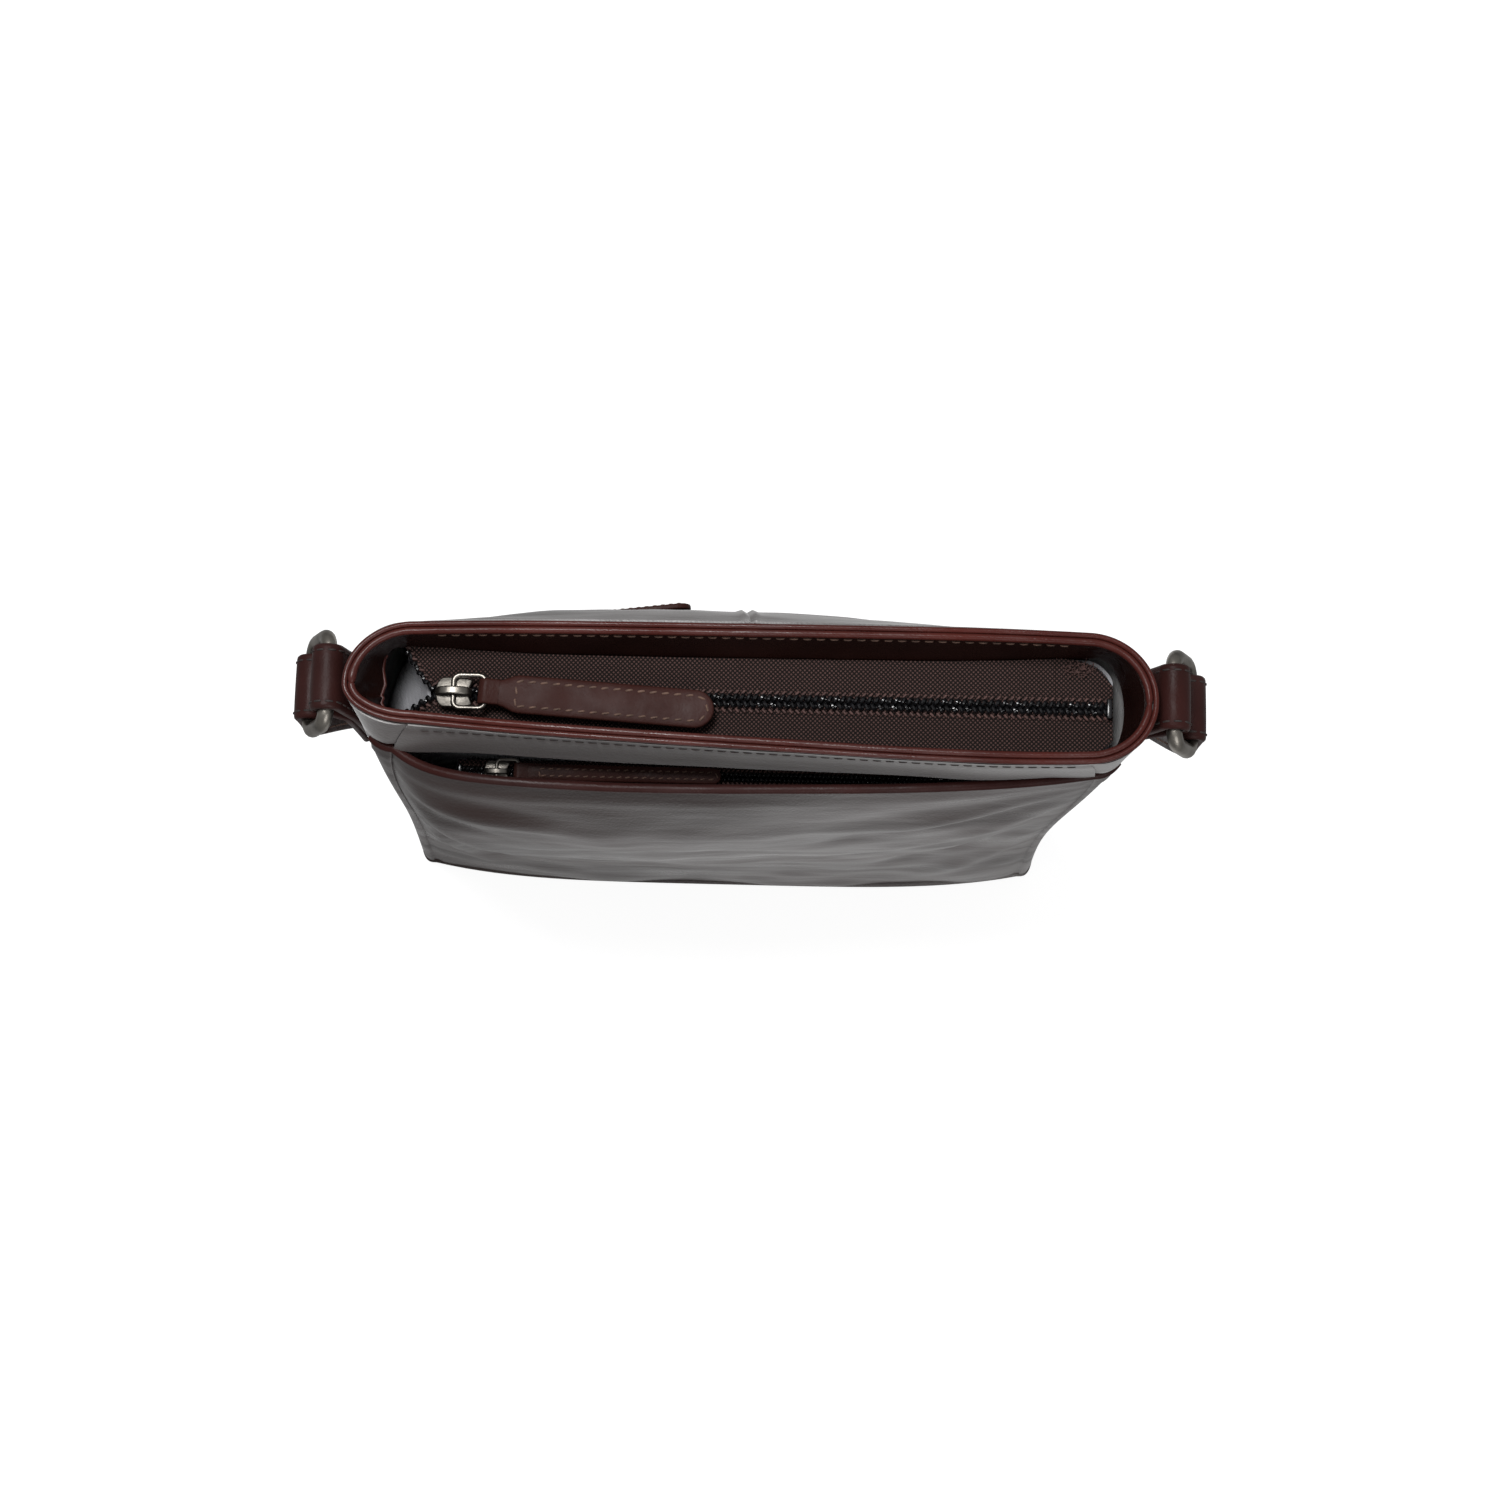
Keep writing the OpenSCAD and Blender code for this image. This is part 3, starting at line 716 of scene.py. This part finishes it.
front_folds = [
    ((-108, 171), (-90, 172), (-52, 160), -1.3, 3),
    ((-108, 164), (-88, 163), (-46, 148), 1.4, 4),
    ((-108, 156), (-97, 153), (-66, 130), -1.7, 4),
    ((-107, 147), (-96, 138), (-74, 96), 1.8, 5),
    ((-106, 138), (-97, 118), (-82, 46), -2, 5),
    ((-106, 112), (-98, 70), (-86, 18), 1.7, 5),
    ((103, 176), (76, 168), (32, 160), -1.1, 3.5),
    ((102, 170), (74, 156), (26, 146), 1.4, 4.5),
    ((98, 160), (66, 141), (22, 130), -1.8, 5),
    ((97, 150), (70, 120), (32, 104), 1.9, 6),
    ((95, 124), (75, 78), (40, 54), -2, 6),
    ((94, 92), (78, 50), (56, 18), 1.7, 6),
    ((-44, 152), (-6, 144), (34, 150), 0.8, 5),
    ((-56, 122), (-10, 108), (30, 116), -1.1, 7),
    ((-36, 82), (4, 66), (50, 76), 1.3, 10),
]
back_folds = [
    ((-100, 140), (-70, 96), (-20, 80), -1.8, 8),
    ((100, 140), (76, 92), (30, 74), 1.6, 8),
    ((-90, 60), (-40, 40), (10, 44), 1.4, 10),
    ((96, 80), (70, 46), (40, 24), -1.6, 8),
]


def pinch(distance, depth, width):
    """How far leather is drawn in beside a seam."""
    return depth * math.exp(-(distance / width) ** 2)


def front_relief(u, z):
    p = outer_point(u, z, 0)
    sides = min(u, 1 - u) * 2 * side_half(z)
    settle = smooth_step(0, 25, pocket_top - z) * smooth_step(0, 10, sides)
    drift = 1.3 * ripple(p.x, 0, z, 38) + 0.5 * ripple(p.x, 9, z * 1.5, 16)
    lip = 0.5 * math.exp(-((pocket_top - 6 - z) / 1.4) ** 2)
    wrinkles = settle * (drift + fold_depth(p.x, z, front_folds))
    return wrinkles + lip - pinch(sides, 0.5, 2) - pinch(z - base_t, 0.3, 3)


def back_relief(u, z):
    p = outer_point(u, z, 0)
    sides = min(u - 2, 3 - u) * 2 * side_half(z)
    edges = smooth_step(0, 10, sides) * smooth_step(0, 10, bag_h - z)
    settle = smooth_step(0, 12, abs(z - back_zip_z)) * edges
    drift = 1.2 * ripple(p.x, 40, z, 34) + 0.4 * ripple(p.x, 52, z, 14)
    wrinkles = settle * (drift + fold_depth(p.x, z, back_folds))
    return wrinkles - pinch(sides, 0.5, 2) - pinch(z - base_t, 0.3, 3)


def yoke_back_relief(u, z):
    seam = abs(u - 2.5) * 2 * side_half(z)
    return back_relief(u, z) + 0.7 * math.exp(-((seam - 1.6) / 1.1) ** 2) - pinch(seam, 0.4, 0.5)


def gusset_relief(u, z):
    edge = min(u % 1, 1 - u % 1)
    hollow = -2.2 * math.sin(math.pi * (u % 1)) ** 2 * math.sin(math.pi * part_up(z) ** 0.8) ** 2
    drift = 0.7 * ripple(u * 30, 80, z, 22) * smooth_step(0, 0.2, edge) * smooth_step(0, 40, bag_h - z)
    return hollow + drift - pinch(edge * 60, 0.4, 3) - pinch(z - base_t, 0.3, 3)


def wall(us, low, high, count, relief, place=lambda u, z: u):
    """A leather panel of the outer wall, between two heights that may change along it."""
    rings = []
    for u in us:
        zs = steps(low(u), high(u), count)
        face = [outer_point(place(u, z), z, -relief(u, z)) for z in zs]
        back = [outer_point(place(u, z), z, leather) for z in reversed(zs)]
        rings.append(face + back)
    return loft(rings)


wrap = 0.22


def beside_wrap(u, z):
    """Where a gusset lies: it stops short of the front panel, which is wrapped round the corner."""
    drawn = wrap * smooth_step(pocket_top + 3, pocket_top + 1, z)
    return u - drawn * (u - 3) if u > 2 else u + drawn * (2 - u)


def level(z):
    return lambda u: z


def slot_open(u):
    along = (side_half(back_zip_z) * (5 - 2 * u) - back_zip_mid) / (back_zip_len / 2 + 6)
    return back_slot * max(1 - along ** 12, 0)


piece("front_pocket_panel",
      wall(steps(-wrap, 1 + wrap, 160), level(base_t), level(pocket_top), 80, front_relief),
      panel_leather, "bag", ["front_pocket_panel"])
piece("back_pocket_panel",
      wall(steps(2, 3, 110), level(base_t), lambda u: back_zip_z - slot_open(u), 60, back_relief),
      back_leather_painted_sheen, "bag", ["back_pocket_panel"])
for name, us in (("back_yoke_left", steps(2.5, 3, 60)), ("back_yoke_right", steps(2, 2.5, 60))):
    piece(name, wall(us, lambda u: back_zip_z + slot_open(u), level(bag_h - edge_d), 30, yoke_back_relief),
          back_leather_painted_sheen, "bag", [name])
for name, us in (("gusset_left", steps(3, 4, 60)), ("gusset_right", steps(1, 2, 60))):
    piece(name, wall(us, level(base_t), level(bag_h - roll_d), 60, gusset_relief, beside_wrap),
          yoke_leather_painted_sheen, "bag", [name])


def base_shape():
    layers = [(1.6, 0), (0.5, 0.5), (0, 1.5), (0, 2.4), (0.8, base_t)]
    return loft([[Vector((p.x, p.y, z)) for p in (outer_point(u, 0, inset) for u in steps(0, 4, 160)[:-1])]
                 for inset, z in layers])


piece("base_panel", base_shape(), panel_leather, "bag", ["base_panel"])


def yoke_point(u, z, inset):
    """The yoke hangs from the rim and leans out over the pocket zip, closing on the pocket at the right."""
    rim = rim_point(u, z, inset)
    side = outer_point(u, z, inset)
    end = abs(2 * u - 1) ** 12
    room = rim.y - outer_point(u, pocket_top, leather).y
    closing = 0.3 + 0.6 * smooth_step(40, 85, side.x)
    lean = closing * max(room, 0) * (1 - end) * ((bag_h - z) / (bag_h - yoke_bottom)) ** 1.3
    return Vector((side.x, rim.y * (1 - end) + side.y * end - lean, z))


yoke_seam_z = bag_h - 4


def yoke_shape():
    rings = []
    for u in steps(0, 1, 120):
        zs = steps(yoke_bottom, bag_h - edge_d, 14)
        bulge = [0.25 * ripple(u * 200, 3, z, 18) - pinch(yoke_seam_z - z, 0.35, 1.2) for z in zs]
        face = [yoke_point(u, z, -b) for z, b in zip(zs, bulge)]
        rings.append(face + [yoke_point(u, z, leather) for z in reversed(zs)])
    return loft(rings)


piece("front_yoke", yoke_shape(), yoke_leather_painted_sheen, "bag", ["front_yoke"])
yoke_seam = [yoke_point(u, yoke_seam_z, -0.1) for u in steps(0.02, 0.98, 120)]
piece("front_yoke_seam", stitches(yoke_seam, each((0, -1, 0), yoke_seam), 3.8, 2.6, 0.2),
      dark_thread, "bag")


def edge_roll():
    path = []
    for u in steps(-wrap, 1 + wrap, 140):
        p = outer_point(u, pocket_top, leather / 2)
        path.append(Vector((p.x, p.y, pocket_top + 0.9 + 0.25 * ripple(p.x, 5, 0, 30))))
    return sweep(path, each((0, 1, 0), path), [(a * 1.25, b) for a, b in circle(1.2, 14)])


piece("front_pocket_edge", edge_roll(), strap_leather, "bag", ["front_pocket_edge"])


# Rim: a thin outer ridge and a rolled inner one, over a dark facing whose near-black colour holds painted
# shade
def rim_ring(inset, radius, bumps):
    path = []
    sizes = []
    for u in steps(0, 4, 320)[:-1]:
        p = rim_point(u, bag_h - radius, inset + radius)
        path.append(p + Vector((0, 0, 0.15 * ripple(p.x, p.y, 0, 26))))
        bulge = sum(height * math.exp(-((u - place) / width) ** 2) for place, width, height in bumps)
        sizes.append(1 + bulge)
    return sweep(path, each((0, 0, 1), path), circle(radius, 14), closed=True, scales=sizes)


back_seam = (2.5, 0.012, 0.15)
left_lap = [(3.45, 0.04, 0.22), (3.5, 0.01, -0.3)]
right_notch = (1.48, 0.02, -0.3)
piece("rim_edge", rim_ring(0, edge_d / 2, [back_seam]), trim_leather, "bag", ["rim_edge"])
piece("rim_roll", rim_ring(edge_d, roll_d / 2, [back_seam, *left_lap, right_notch]), trim_leather,
      "bag", ["rim_roll"])


def left_end(u):
    return math.exp(-((u % 4 - 3.5) / 0.3) ** 2)


def facing_lean(u):
    """How far the facing's foot stands in from its top."""
    back = 1 - abs(min(max(u % 4 - 2, 0), 1) * 2 - 1) ** 4
    return 0.6 + 3.2 * back + left_end(u) * (4.5 + 2.4 * ripple(u * 7, 1, 0, 1))


def facing_face(u, q, inset):
    low = zip_z - 1.5
    z = low + (bag_h - roll_d - low) * q
    p = facing_point(u % 4, z, 0)
    crinkle = left_end(u) * 1.1 * ripple(p.x, p.y * 1.4, z, 5) * (1 - q * 0.7)
    return facing_point(u % 4, z, inset + facing_lean(u) * (1 - q) ** 2 + crinkle)


def facing_shape(u_from):
    rings = []
    for u in steps(u_from, u_from + 2, 150):
        qs = steps(0, 1, 10)
        face = [facing_face(u, q, facing_inset + facing_t) for q in qs]
        rings.append(face + [facing_face(u, q, facing_inset) for q in reversed(qs)])
    return loft(rings)


piece("facing_front", facing_shape(-0.5), facing_leather_painted_shade, "bag", ["facing_front"])
piece("facing_back", facing_shape(1.5), facing_leather_painted_shade, "bag", ["facing_back"])
facing_seam = [facing_face(u, 0.86, facing_inset + facing_t + 0.1) for u in steps(2.03, 2.97, 120)]
piece("facing_seam", stitches(facing_seam, each((0, -1, 0), facing_seam), 4, 2.6, 0.33),
      tan_thread, "bag")

facing_curl = [facing_face(u, 0, facing_inset + facing_t) for u in steps(3.16, 3.84, 60)]
piece("facing_curl", tube(facing_curl, 0.55, 8), trim_leather, "bag")

# Lining of the main compartment
lining_top = yoke_bottom - 0.3


def lining_point(u, z, inset):
    """The lining swells between its ends and is gathered in near its top, most at the left."""
    give = math.sin(math.pi * z / lining_top) ** 2
    reach = side_half(z) - 3

    def stand(x, way):
        top = (rim_mid(way) - facing_inset - facing_t + lining) * bow(x, z, way) * skew(x, z, way)
        return top + (7 if way < 0 else 5) * give * hump(x / side_half(z), way) - inset
    u = u % 4
    if u <= 1 or 2 <= u <= 3:
        way = -1 if u <= 1 else 1
        x = reach * (2 * u - 1) if way < 0 else reach * (5 - 2 * u)
        return Vector((x + shift(z), way * (stand(x, way) - 0.3 * ripple(x, way * 60, z, 20)), z))
    side = 1 if u < 2 else -1
    turn = math.pi * (u - 1.5) if side > 0 else math.pi * (3.5 - u)
    way = -1 if turn < 0 else 1
    bunched = 5 * math.cos(turn) ** 8 if side > 0 else 17
    gather = bunched * smooth_step(lining_top - 26, lining_top, z) + 1.2 * ripple(u * 30, 4, z, 7)
    out = (end_reach(z) - 1 - inset - gather) * max(math.cos(turn), 0)
    return Vector((side * (reach + out) + shift(z), stand(side * reach, way) * math.sin(turn), z))


def lining_shape(u_from):
    rings = []
    for u in steps(u_from, u_from + 2, 110):
        zs = steps(base_t + 2.2, lining_top, 26)
        face = [lining_point(u, z, lining) for z in zs]
        rings.append(face + [lining_point(u, z, 0) for z in reversed(zs)])
    return loft(rings)


piece("lining_front", lining_shape(-0.5), lining_cloth, "bag", ["lining_front"])
piece("lining_back", lining_shape(1.5), lining_cloth, "bag", ["lining_back"])

# Zips. Each is made in its own frame: x along the chain, y across it, z out of the cloth.
coil_in = 0.5
coil_pitch = 2
coil_wire = 0.52
bail_z = 4.6
bail_len = 9.5
bail_half = 5
bail_wire = 0.8
neck = bail_half - bail_wire - 0.35
pull_half = 5.8
small = 0.7
main_left = -zip_len / 2
main_right = zip_len / 2 + 5
main_slider_x = main_left + 15
main_part_x = main_slider_x - 6
main_fixed_x = zip_len / 2 - 12
small_slider_in = 12
pocket_mid = main_left + 15 + pocket_zip_len / 2
pocket_y = -rim_mid(-1) - 2.1
pocket_z = bag_h - 32


def back_end(side):
    return depth_at(back_zip_mid + side * back_zip_len / 2, back_zip_z, 1) - leather - 0.9


back_turn = math.asin((back_end(1) - back_end(-1)) / back_zip_len)
main_place = Matrix.Translation((0, 0, zip_z))
pocket_place = (Matrix.Translation((pocket_mid, pocket_y, pocket_z))
                @ Matrix.Rotation(math.radians(8), 4, "X") @ Matrix.Scale(small, 4))
back_y = (back_end(1) + back_end(-1)) / 2
back_place = (Matrix.Translation((back_zip_mid + shift(back_zip_z), back_y, back_zip_z))
              @ Matrix.Rotation(back_turn, 4, "Z") @ Matrix.Rotation(math.radians(-90), 4, "X")
              @ Matrix.Scale(small, 4))


def straight(x):
    return 0


def parting(way):
    """How far a half of the main zip stands off the middle, where the halves part at the left end."""
    spread = 6 if way < 0 else 12
    return lambda x: spread * max((main_part_x - x) / (main_part_x - main_left), 0) ** 1.3


def coil(x_from, x_to, way, off=straight):
    """Half a chain: one filament wound along the edge of the tape."""
    per_turn = 12
    count = round((x_to - x_from) / coil_pitch) * per_turn
    phase = 0 if way > 0 else math.pi
    path = []
    for i, x in enumerate(steps(x_from, x_to, count)):
        turn = 2 * math.pi * i / per_turn + phase
        y = 1.05 - 0.78 * math.cos(turn) + off(x)
        path.append(Vector((x, way * y, 1 + 0.75 * math.sin(turn))))
    return tube(path, coil_wire, 6)


def coil_seam(x_from, x_to, way, off=straight):
    """The slanted sewing that holds a coil to its tape."""
    path = [Vector((x, way * (2.8 + off(x)), 0.3)) for x in steps(x_from, x_to, 120)]
    return stitches(path, each((0, 0, 1), path), coil_pitch, 1.8, 0.4, way * math.radians(48))


def tape(xs, inner, outer, sag=0):
    """Woven tape between two edges, each a function of x; it sinks a little in the middle of its width."""
    rings = []
    for x in xs:
        ys = steps(inner(x), outer(x), 12)
        drop = [-sag * math.sin(math.pi * i / 12) + 0.12 * ripple(x, y, 0, 9) for i, y in enumerate(ys)]
        top = [Vector((x, y, d)) for y, d in zip(ys, drop)]
        rings.append(top + [Vector((x, y, d - 0.6)) for y, d in zip(reversed(ys), reversed(drop))])
    return loft(rings)


def facing_in(x, way):
    """How far from the middle plane the main zip's tape can reach."""
    off = x - shift(zip_z)
    side = side_half(zip_z)
    q = min(max(off / side, -1), 1)
    inset = facing_inset + facing_t
    past = max(abs(off) - side, 0) / (end_reach(zip_z) - inset)
    depth = rim_mid(way) * (1 + side_skew(way) * q) * (1 - (1 - share(bag_h, way)) * q ** 4)
    return (depth - inset) * math.sqrt(max(1 - past * past, 0)) - 0.3


def tape_edge(way):
    """Outer edge of the main zip's tape, clear of the facing's foot at the back."""
    def reach(x):
        middle = 1 - min(abs(x / 100), 1) ** 4
        corner = max(x - main_right + 18, 0) / 18
        rounded = math.sqrt(1 - (0.7 if way > 0 else 0.4) * corner ** 2)
        return way * (facing_in(x, way) - (3.2 * middle + 0.4 if way > 0 else 1)) * rounded
    return reach


def tape_start(way):
    off = parting(way)
    return lambda x: way * (coil_in + off(x))


for way, half in ((-1, "front"), (1, "back")):
    body = "main_half_" + half
    off = parting(way)
    piece("main_tape_" + half,
          tape(steps(main_left, main_fixed_x - 0.1, 120), tape_start(way), tape_edge(way), 0.5),
          tape_cloth, body, ["main_tape_" + half], main_place)
    piece("main_coil_" + half, coil(main_left, main_fixed_x, way, off), coil_plastic, body,
          ["main_coil_" + half], main_place)
    piece("main_sewing_" + half, coil_seam(main_left, main_fixed_x, way, off), brown_thread, body,
          place=main_place)
end_shapes = [tape(steps(main_fixed_x, main_right, 10), tape_start(way), tape_edge(way), 0.5)
              for way in (-1, 1)]
piece("main_zip_end", merge(end_shapes), tape_cloth, "bag", ["main_zip_end"], main_place)
end_coils = [coil(main_fixed_x, main_right - 2, way) for way in (-1, 1)]
piece("main_zip_end_coil", merge(end_coils), coil_plastic, "bag", place=main_place)
end_sewing = [coil_seam(main_fixed_x, main_right - 1, way) for way in (-1, 1)]
piece("main_zip_end_sewing", merge(end_sewing), brown_thread, "bag", place=main_place)


def fray_shape():
    """Loose threads at the back corner of the tape's right end."""
    threads = 46
    shapes = []
    for i in range(threads):
        turn = 2.4 * i
        spread = math.sqrt(i / threads)
        off = Vector((4.5 * math.cos(turn), 2 * math.sin(turn), 0)) * spread
        foot = Vector((main_right - 10, 12.2, 0.2)) + off
        tip = foot + Vector((1.6 * math.cos(turn * 1.7), 1.6 * math.sin(turn * 1.7), 0.9))
        bend = (foot + tip) / 2 + Vector((0.3, -0.3, 0.6))
        shapes.append(tube([bezier([foot, bend, tip], s) for s in steps(0, 1, 5)], 0.11, 5))
    return merge(shapes)


piece("main_zip_end_fray", fray_shape(), brown_thread, "bag", place=main_place)


def oblong(left, right, low, high):
    return [(left, low), (right, low), (right, high), (left, high)]


def stop_shape(x):
    return plate(oblong(x - 0.8, x + 0.8, -3, 3), -0.1, 2.2, 0.35)


piece("main_zip_stop", stop_shape(main_right - 1.2), coil_plastic, "bag", ["main_zip_stop"],
      main_place)


def small_zip(prefix, place, length, sides):
    """A pocket's closed zip: two tapes and coils named by their sides, and the stops at the ends."""
    half = length / 2
    for way, side, outer in sides:
        piece(prefix + "_tape_" + side, tape(steps(-half, half, 80), lambda x, w=way: w * coil_in, outer),
              tape_cloth, "bag", [prefix + "_tape_" + side], place)
        piece(prefix + "_coil_" + side, coil(-half + 2, half - 2, way), coil_plastic, "bag",
              [prefix + "_coil_" + side], place)
        piece(prefix + "_sewing_" + side, coil_seam(-half + 2, half - 2, way), brown_thread, "bag",
              place=place)
    stops = merge([stop_shape(end * (half - 1)) for end in (-1, 1)])
    piece(prefix + "_zip_stops", stops, coil_plastic, "bag", [prefix + "_zip_stops"], place)


def pocket_tape_edge(x):
    """The front tape reaches to the inside of the pocket's wall."""
    low = pocket_z - 1
    return -(pocket_y + depth_at(pocket_mid + x * small - shift(low), low, -1) - leather - 0.8) / small


back_tape = (back_slot + 0.4) / small
small_zip("pocket", pocket_place, pocket_zip_len / small,
          ((-1, "front", pocket_tape_edge), (1, "back", lambda x: 4.9)))
small_zip("back", back_place, back_zip_len / small,
          ((1, "lower", lambda x: back_tape), (-1, "upper", lambda x: -back_tape)))


def shield():
    """Outline of a slider's plates: round at the nose, parted at the wide end."""
    nose = [(-2.9 - 2.6 * math.cos(a), 4.6 * math.sin(a)) for a in steps(math.pi / 2, -math.pi / 2, 10)]
    shoulder = [(0.5, -4.6), (3.5, -4.4), (5.2, -4.0), (5.5, -3.4), (4.6, -1.2), (4.2, 0)]
    return nose + shoulder + [(x, -y) for x, y in reversed(shoulder[:-1])]


def slider_shape():
    bridge = [bezier([Vector(p) for p in ((-5, 0, 2.6), (-5.2, 0, 7.4), (5.2, 0, 7.4), (4.8, 0, 2.6))], s)
              for s in steps(0, 1, 24)]
    rails = [plate(oblong(-4.4, 5.3, y - 0.4, y + 0.4), 0.4, 2.5, 0.15) for y in (-3.65, 3.65)]
    post = plate(oblong(-5, -2.4, -0.35, 0.35), -1, 2.6, 0.1)
    return merge([plate(shield(), 2.3, 3.6, 0.45), plate(shield(), -1.5, -0.8, 0.25), post,
                  sweep(bridge, each((0, 1, 0), bridge), strip(2.6, 1.1))] + rails)


def bail_shape():
    bend = 2
    far = bail_len - bend
    side = bail_half - bend
    path = []
    for x, y, start in ((far, side, 90), (bend, side, 180), (bend, -side, 270), (far, -side, 360)):
        middle = Vector((x, y, bail_z))
        path += [middle + Vector((math.cos(math.radians(a)), math.sin(math.radians(a)), 0)) * bend
                 for a in steps(start - 90, start, 6)]
    return tube(path, bail_wire, 10, closed=True)


def pull_outline(length, half):
    """A leather tongue, anticlockwise from its neck at the bail: round shoulders and a round end."""
    tip = bail_len + length
    lower = []
    for x in steps(bail_len + 1, tip - half, 40):
        lower.append((x, -(neck + (half - neck) * smooth_step(bail_len + 4, bail_len + 10, x))))
    turns = steps(-math.pi / 2, math.pi / 2, 16)[1:-1]
    end = [(tip - half + half * math.cos(a), half * math.sin(a)) for a in turns]
    return lower + end + [(x, -y) for x, y in reversed(lower)]


def pull_shape(length, half):
    fold = [Vector((bail_len + 4, 0, bail_z + 0.9))]
    fold += [Vector((bail_len + 1.55 * math.cos(a), 0, bail_z + 1.55 * math.sin(a)))
             for a in steps(math.pi * 0.42, math.pi * 1.58, 16)]
    fold.append(Vector((bail_len + 4, 0, bail_z - 0.9)))
    loop = sweep(fold, each((0, 1, 0), fold), strip(2 * neck, 1.1))
    return merge([plate(pull_outline(length, half), bail_z - 1.3, bail_z + 1.1, 0.55, 0.2), loop])


def pull_seam(length, half):
    edge = [p for p in inset_outline(pull_outline(length, half), 2) if p.x > bail_len + 8]
    path = [Vector((p.x, p.y, bail_z + 1.36)) for p in edge + edge[:1]]
    return stitches(path, each((0, 0, 1), path), 3.6, 2.3, 0.36, math.radians(12))


def zip_pull(prefix, place, bodies, length, half, swing=0, lift=0):
    """Slider, bail and leather pull of a zip, each with the body it moves with."""
    pivot = Matrix.Translation((0, 0, bail_z))
    hinge = Matrix.Translation((bail_len, 0, 0))
    lifted = place @ pivot @ Matrix.Rotation(math.radians(-lift), 4, "Y") @ pivot.inverted()
    tongue = lifted @ hinge @ Matrix.Rotation(math.radians(swing), 4, "Z") @ hinge.inverted()
    piece(prefix + "_slider", slider_shape(), nickel, bodies[0], [prefix + "_slider"], place)
    piece(prefix + "_bail", bail_shape(), nickel, bodies[1], [prefix + "_bail"], lifted)
    piece(prefix + "_pull", pull_shape(length, half), pull_leather, bodies[2], [prefix + "_pull"],
          tongue)
    piece(prefix + "_pull_seam", pull_seam(length, half), tan_thread, bodies[2], place=tongue)


zip_pull("main", main_place @ Matrix.Translation((main_slider_x, 0, 0)),
         ("main_slider", "main_bail", "main_pull"), pull_len, pull_half, swing=-3.5)
zip_pull("pocket", pocket_place @ Matrix.Translation(((small_slider_in - pocket_zip_len / 2) / small, 0, 0)),
         ("pocket_slider", "pocket_pull", "pocket_pull"), pull_len * 0.9 / small, 3.5)
zip_pull("back", back_place @ Matrix.Translation(((small_slider_in - back_zip_len / 2) / small, 0, 0)),
         ("back_slider", "back_bail", "back_pull"), pull_len * 0.6 / small, pull_half, lift=7)


# Side rings, the tabs that hold them and the strap ends that hang from them
loop_r = ring_r + 0.08 + strap_t / 2


def ring_shape(side):
    half_long = strap_w / 2 + 1 + ring_r
    bend = 4.2
    down = Vector((math.cos(hang), 0, -math.sin(hang)))
    middle = Vector((ring_x, ring_y, ring_z)) + down * ring_span / 2
    path = []
    for along, across, start in ((1, 1, 0), (-1, 1, 90), (-1, -1, 180), (1, -1, 270)):
        corner = (along * (half_long - bend), across * (ring_span / 2 - bend))
        for a in steps(start, start + 90, 8):
            y = corner[0] + bend * math.cos(math.radians(a))
            d = corner[1] + bend * math.sin(math.radians(a))
            path.append(middle + Vector((0, y, 0)) + down * d)
    return tube([p * Vector((side, 1, 1)) for p in path], ring_r, 16, closed=True)


def tab_path(side):
    """Up the bag's end, over the ring's upper bar and down again on top of itself."""
    def skin(z, out):
        return Vector((half_width(z) + side * shift(z) + 0.15 + out, ring_y, z))
    zs = [ring_z - drop for drop in steps(42, 13, 14)]
    inner = [skin(z, strap_t / 2) for z in zs]
    loop = [Vector((ring_x + loop_r * math.cos(a), ring_y, ring_z + loop_r * math.sin(a)))
            for a in steps(math.radians(165), math.radians(-45), 26)]
    outer = [skin(z, strap_t * 1.5) for z in reversed(zs)]
    return [p * Vector((side, 1, 1)) for p in inner + loop + outer]


def end_path(side):
    """Up the strap's inner tail, over the ring's lower bar and down the outer tail."""
    middle = low_x + end_out
    bottom = low_z - end_drop
    inner = [Vector((middle - strap_t / 2, ring_y, z)) for z in steps(bottom, low_z - 9, 8)]
    loop = [Vector((low_x + loop_r * math.cos(a), ring_y, low_z + loop_r * math.sin(a)))
            for a in steps(math.radians(190), math.radians(-20), 26)]
    outer = [Vector((middle + strap_t / 2, ring_y, z)) for z in steps(low_z - 9, bottom, 8)]
    return [p * Vector((side, 1, 1)) for p in inner + loop + outer]


for side, name in ((-1, "left"), (1, "right")):
    ring = "ring_" + name
    piece(ring, ring_shape(side), nickel, ring, [ring])
    for part, path, body in (("tab_", tab_path(side), "bag"), ("strap_end_", end_path(side), ring)):
        wides = each((0, 1, 0), path)
        band = sweep(path, wides, strip(strap_w, strap_t))
        piece(part + name, band, strap_leather, body, [part + name])
        seams = edge_seams(path, wides, strap_w, strap_t, (side,))
        piece(part + name + "_seams", seams, dark_thread, body)

board_node = bpy.data.objects["base_board"]
board_node.data.materials.clear()
board_node.data.materials.append(board)
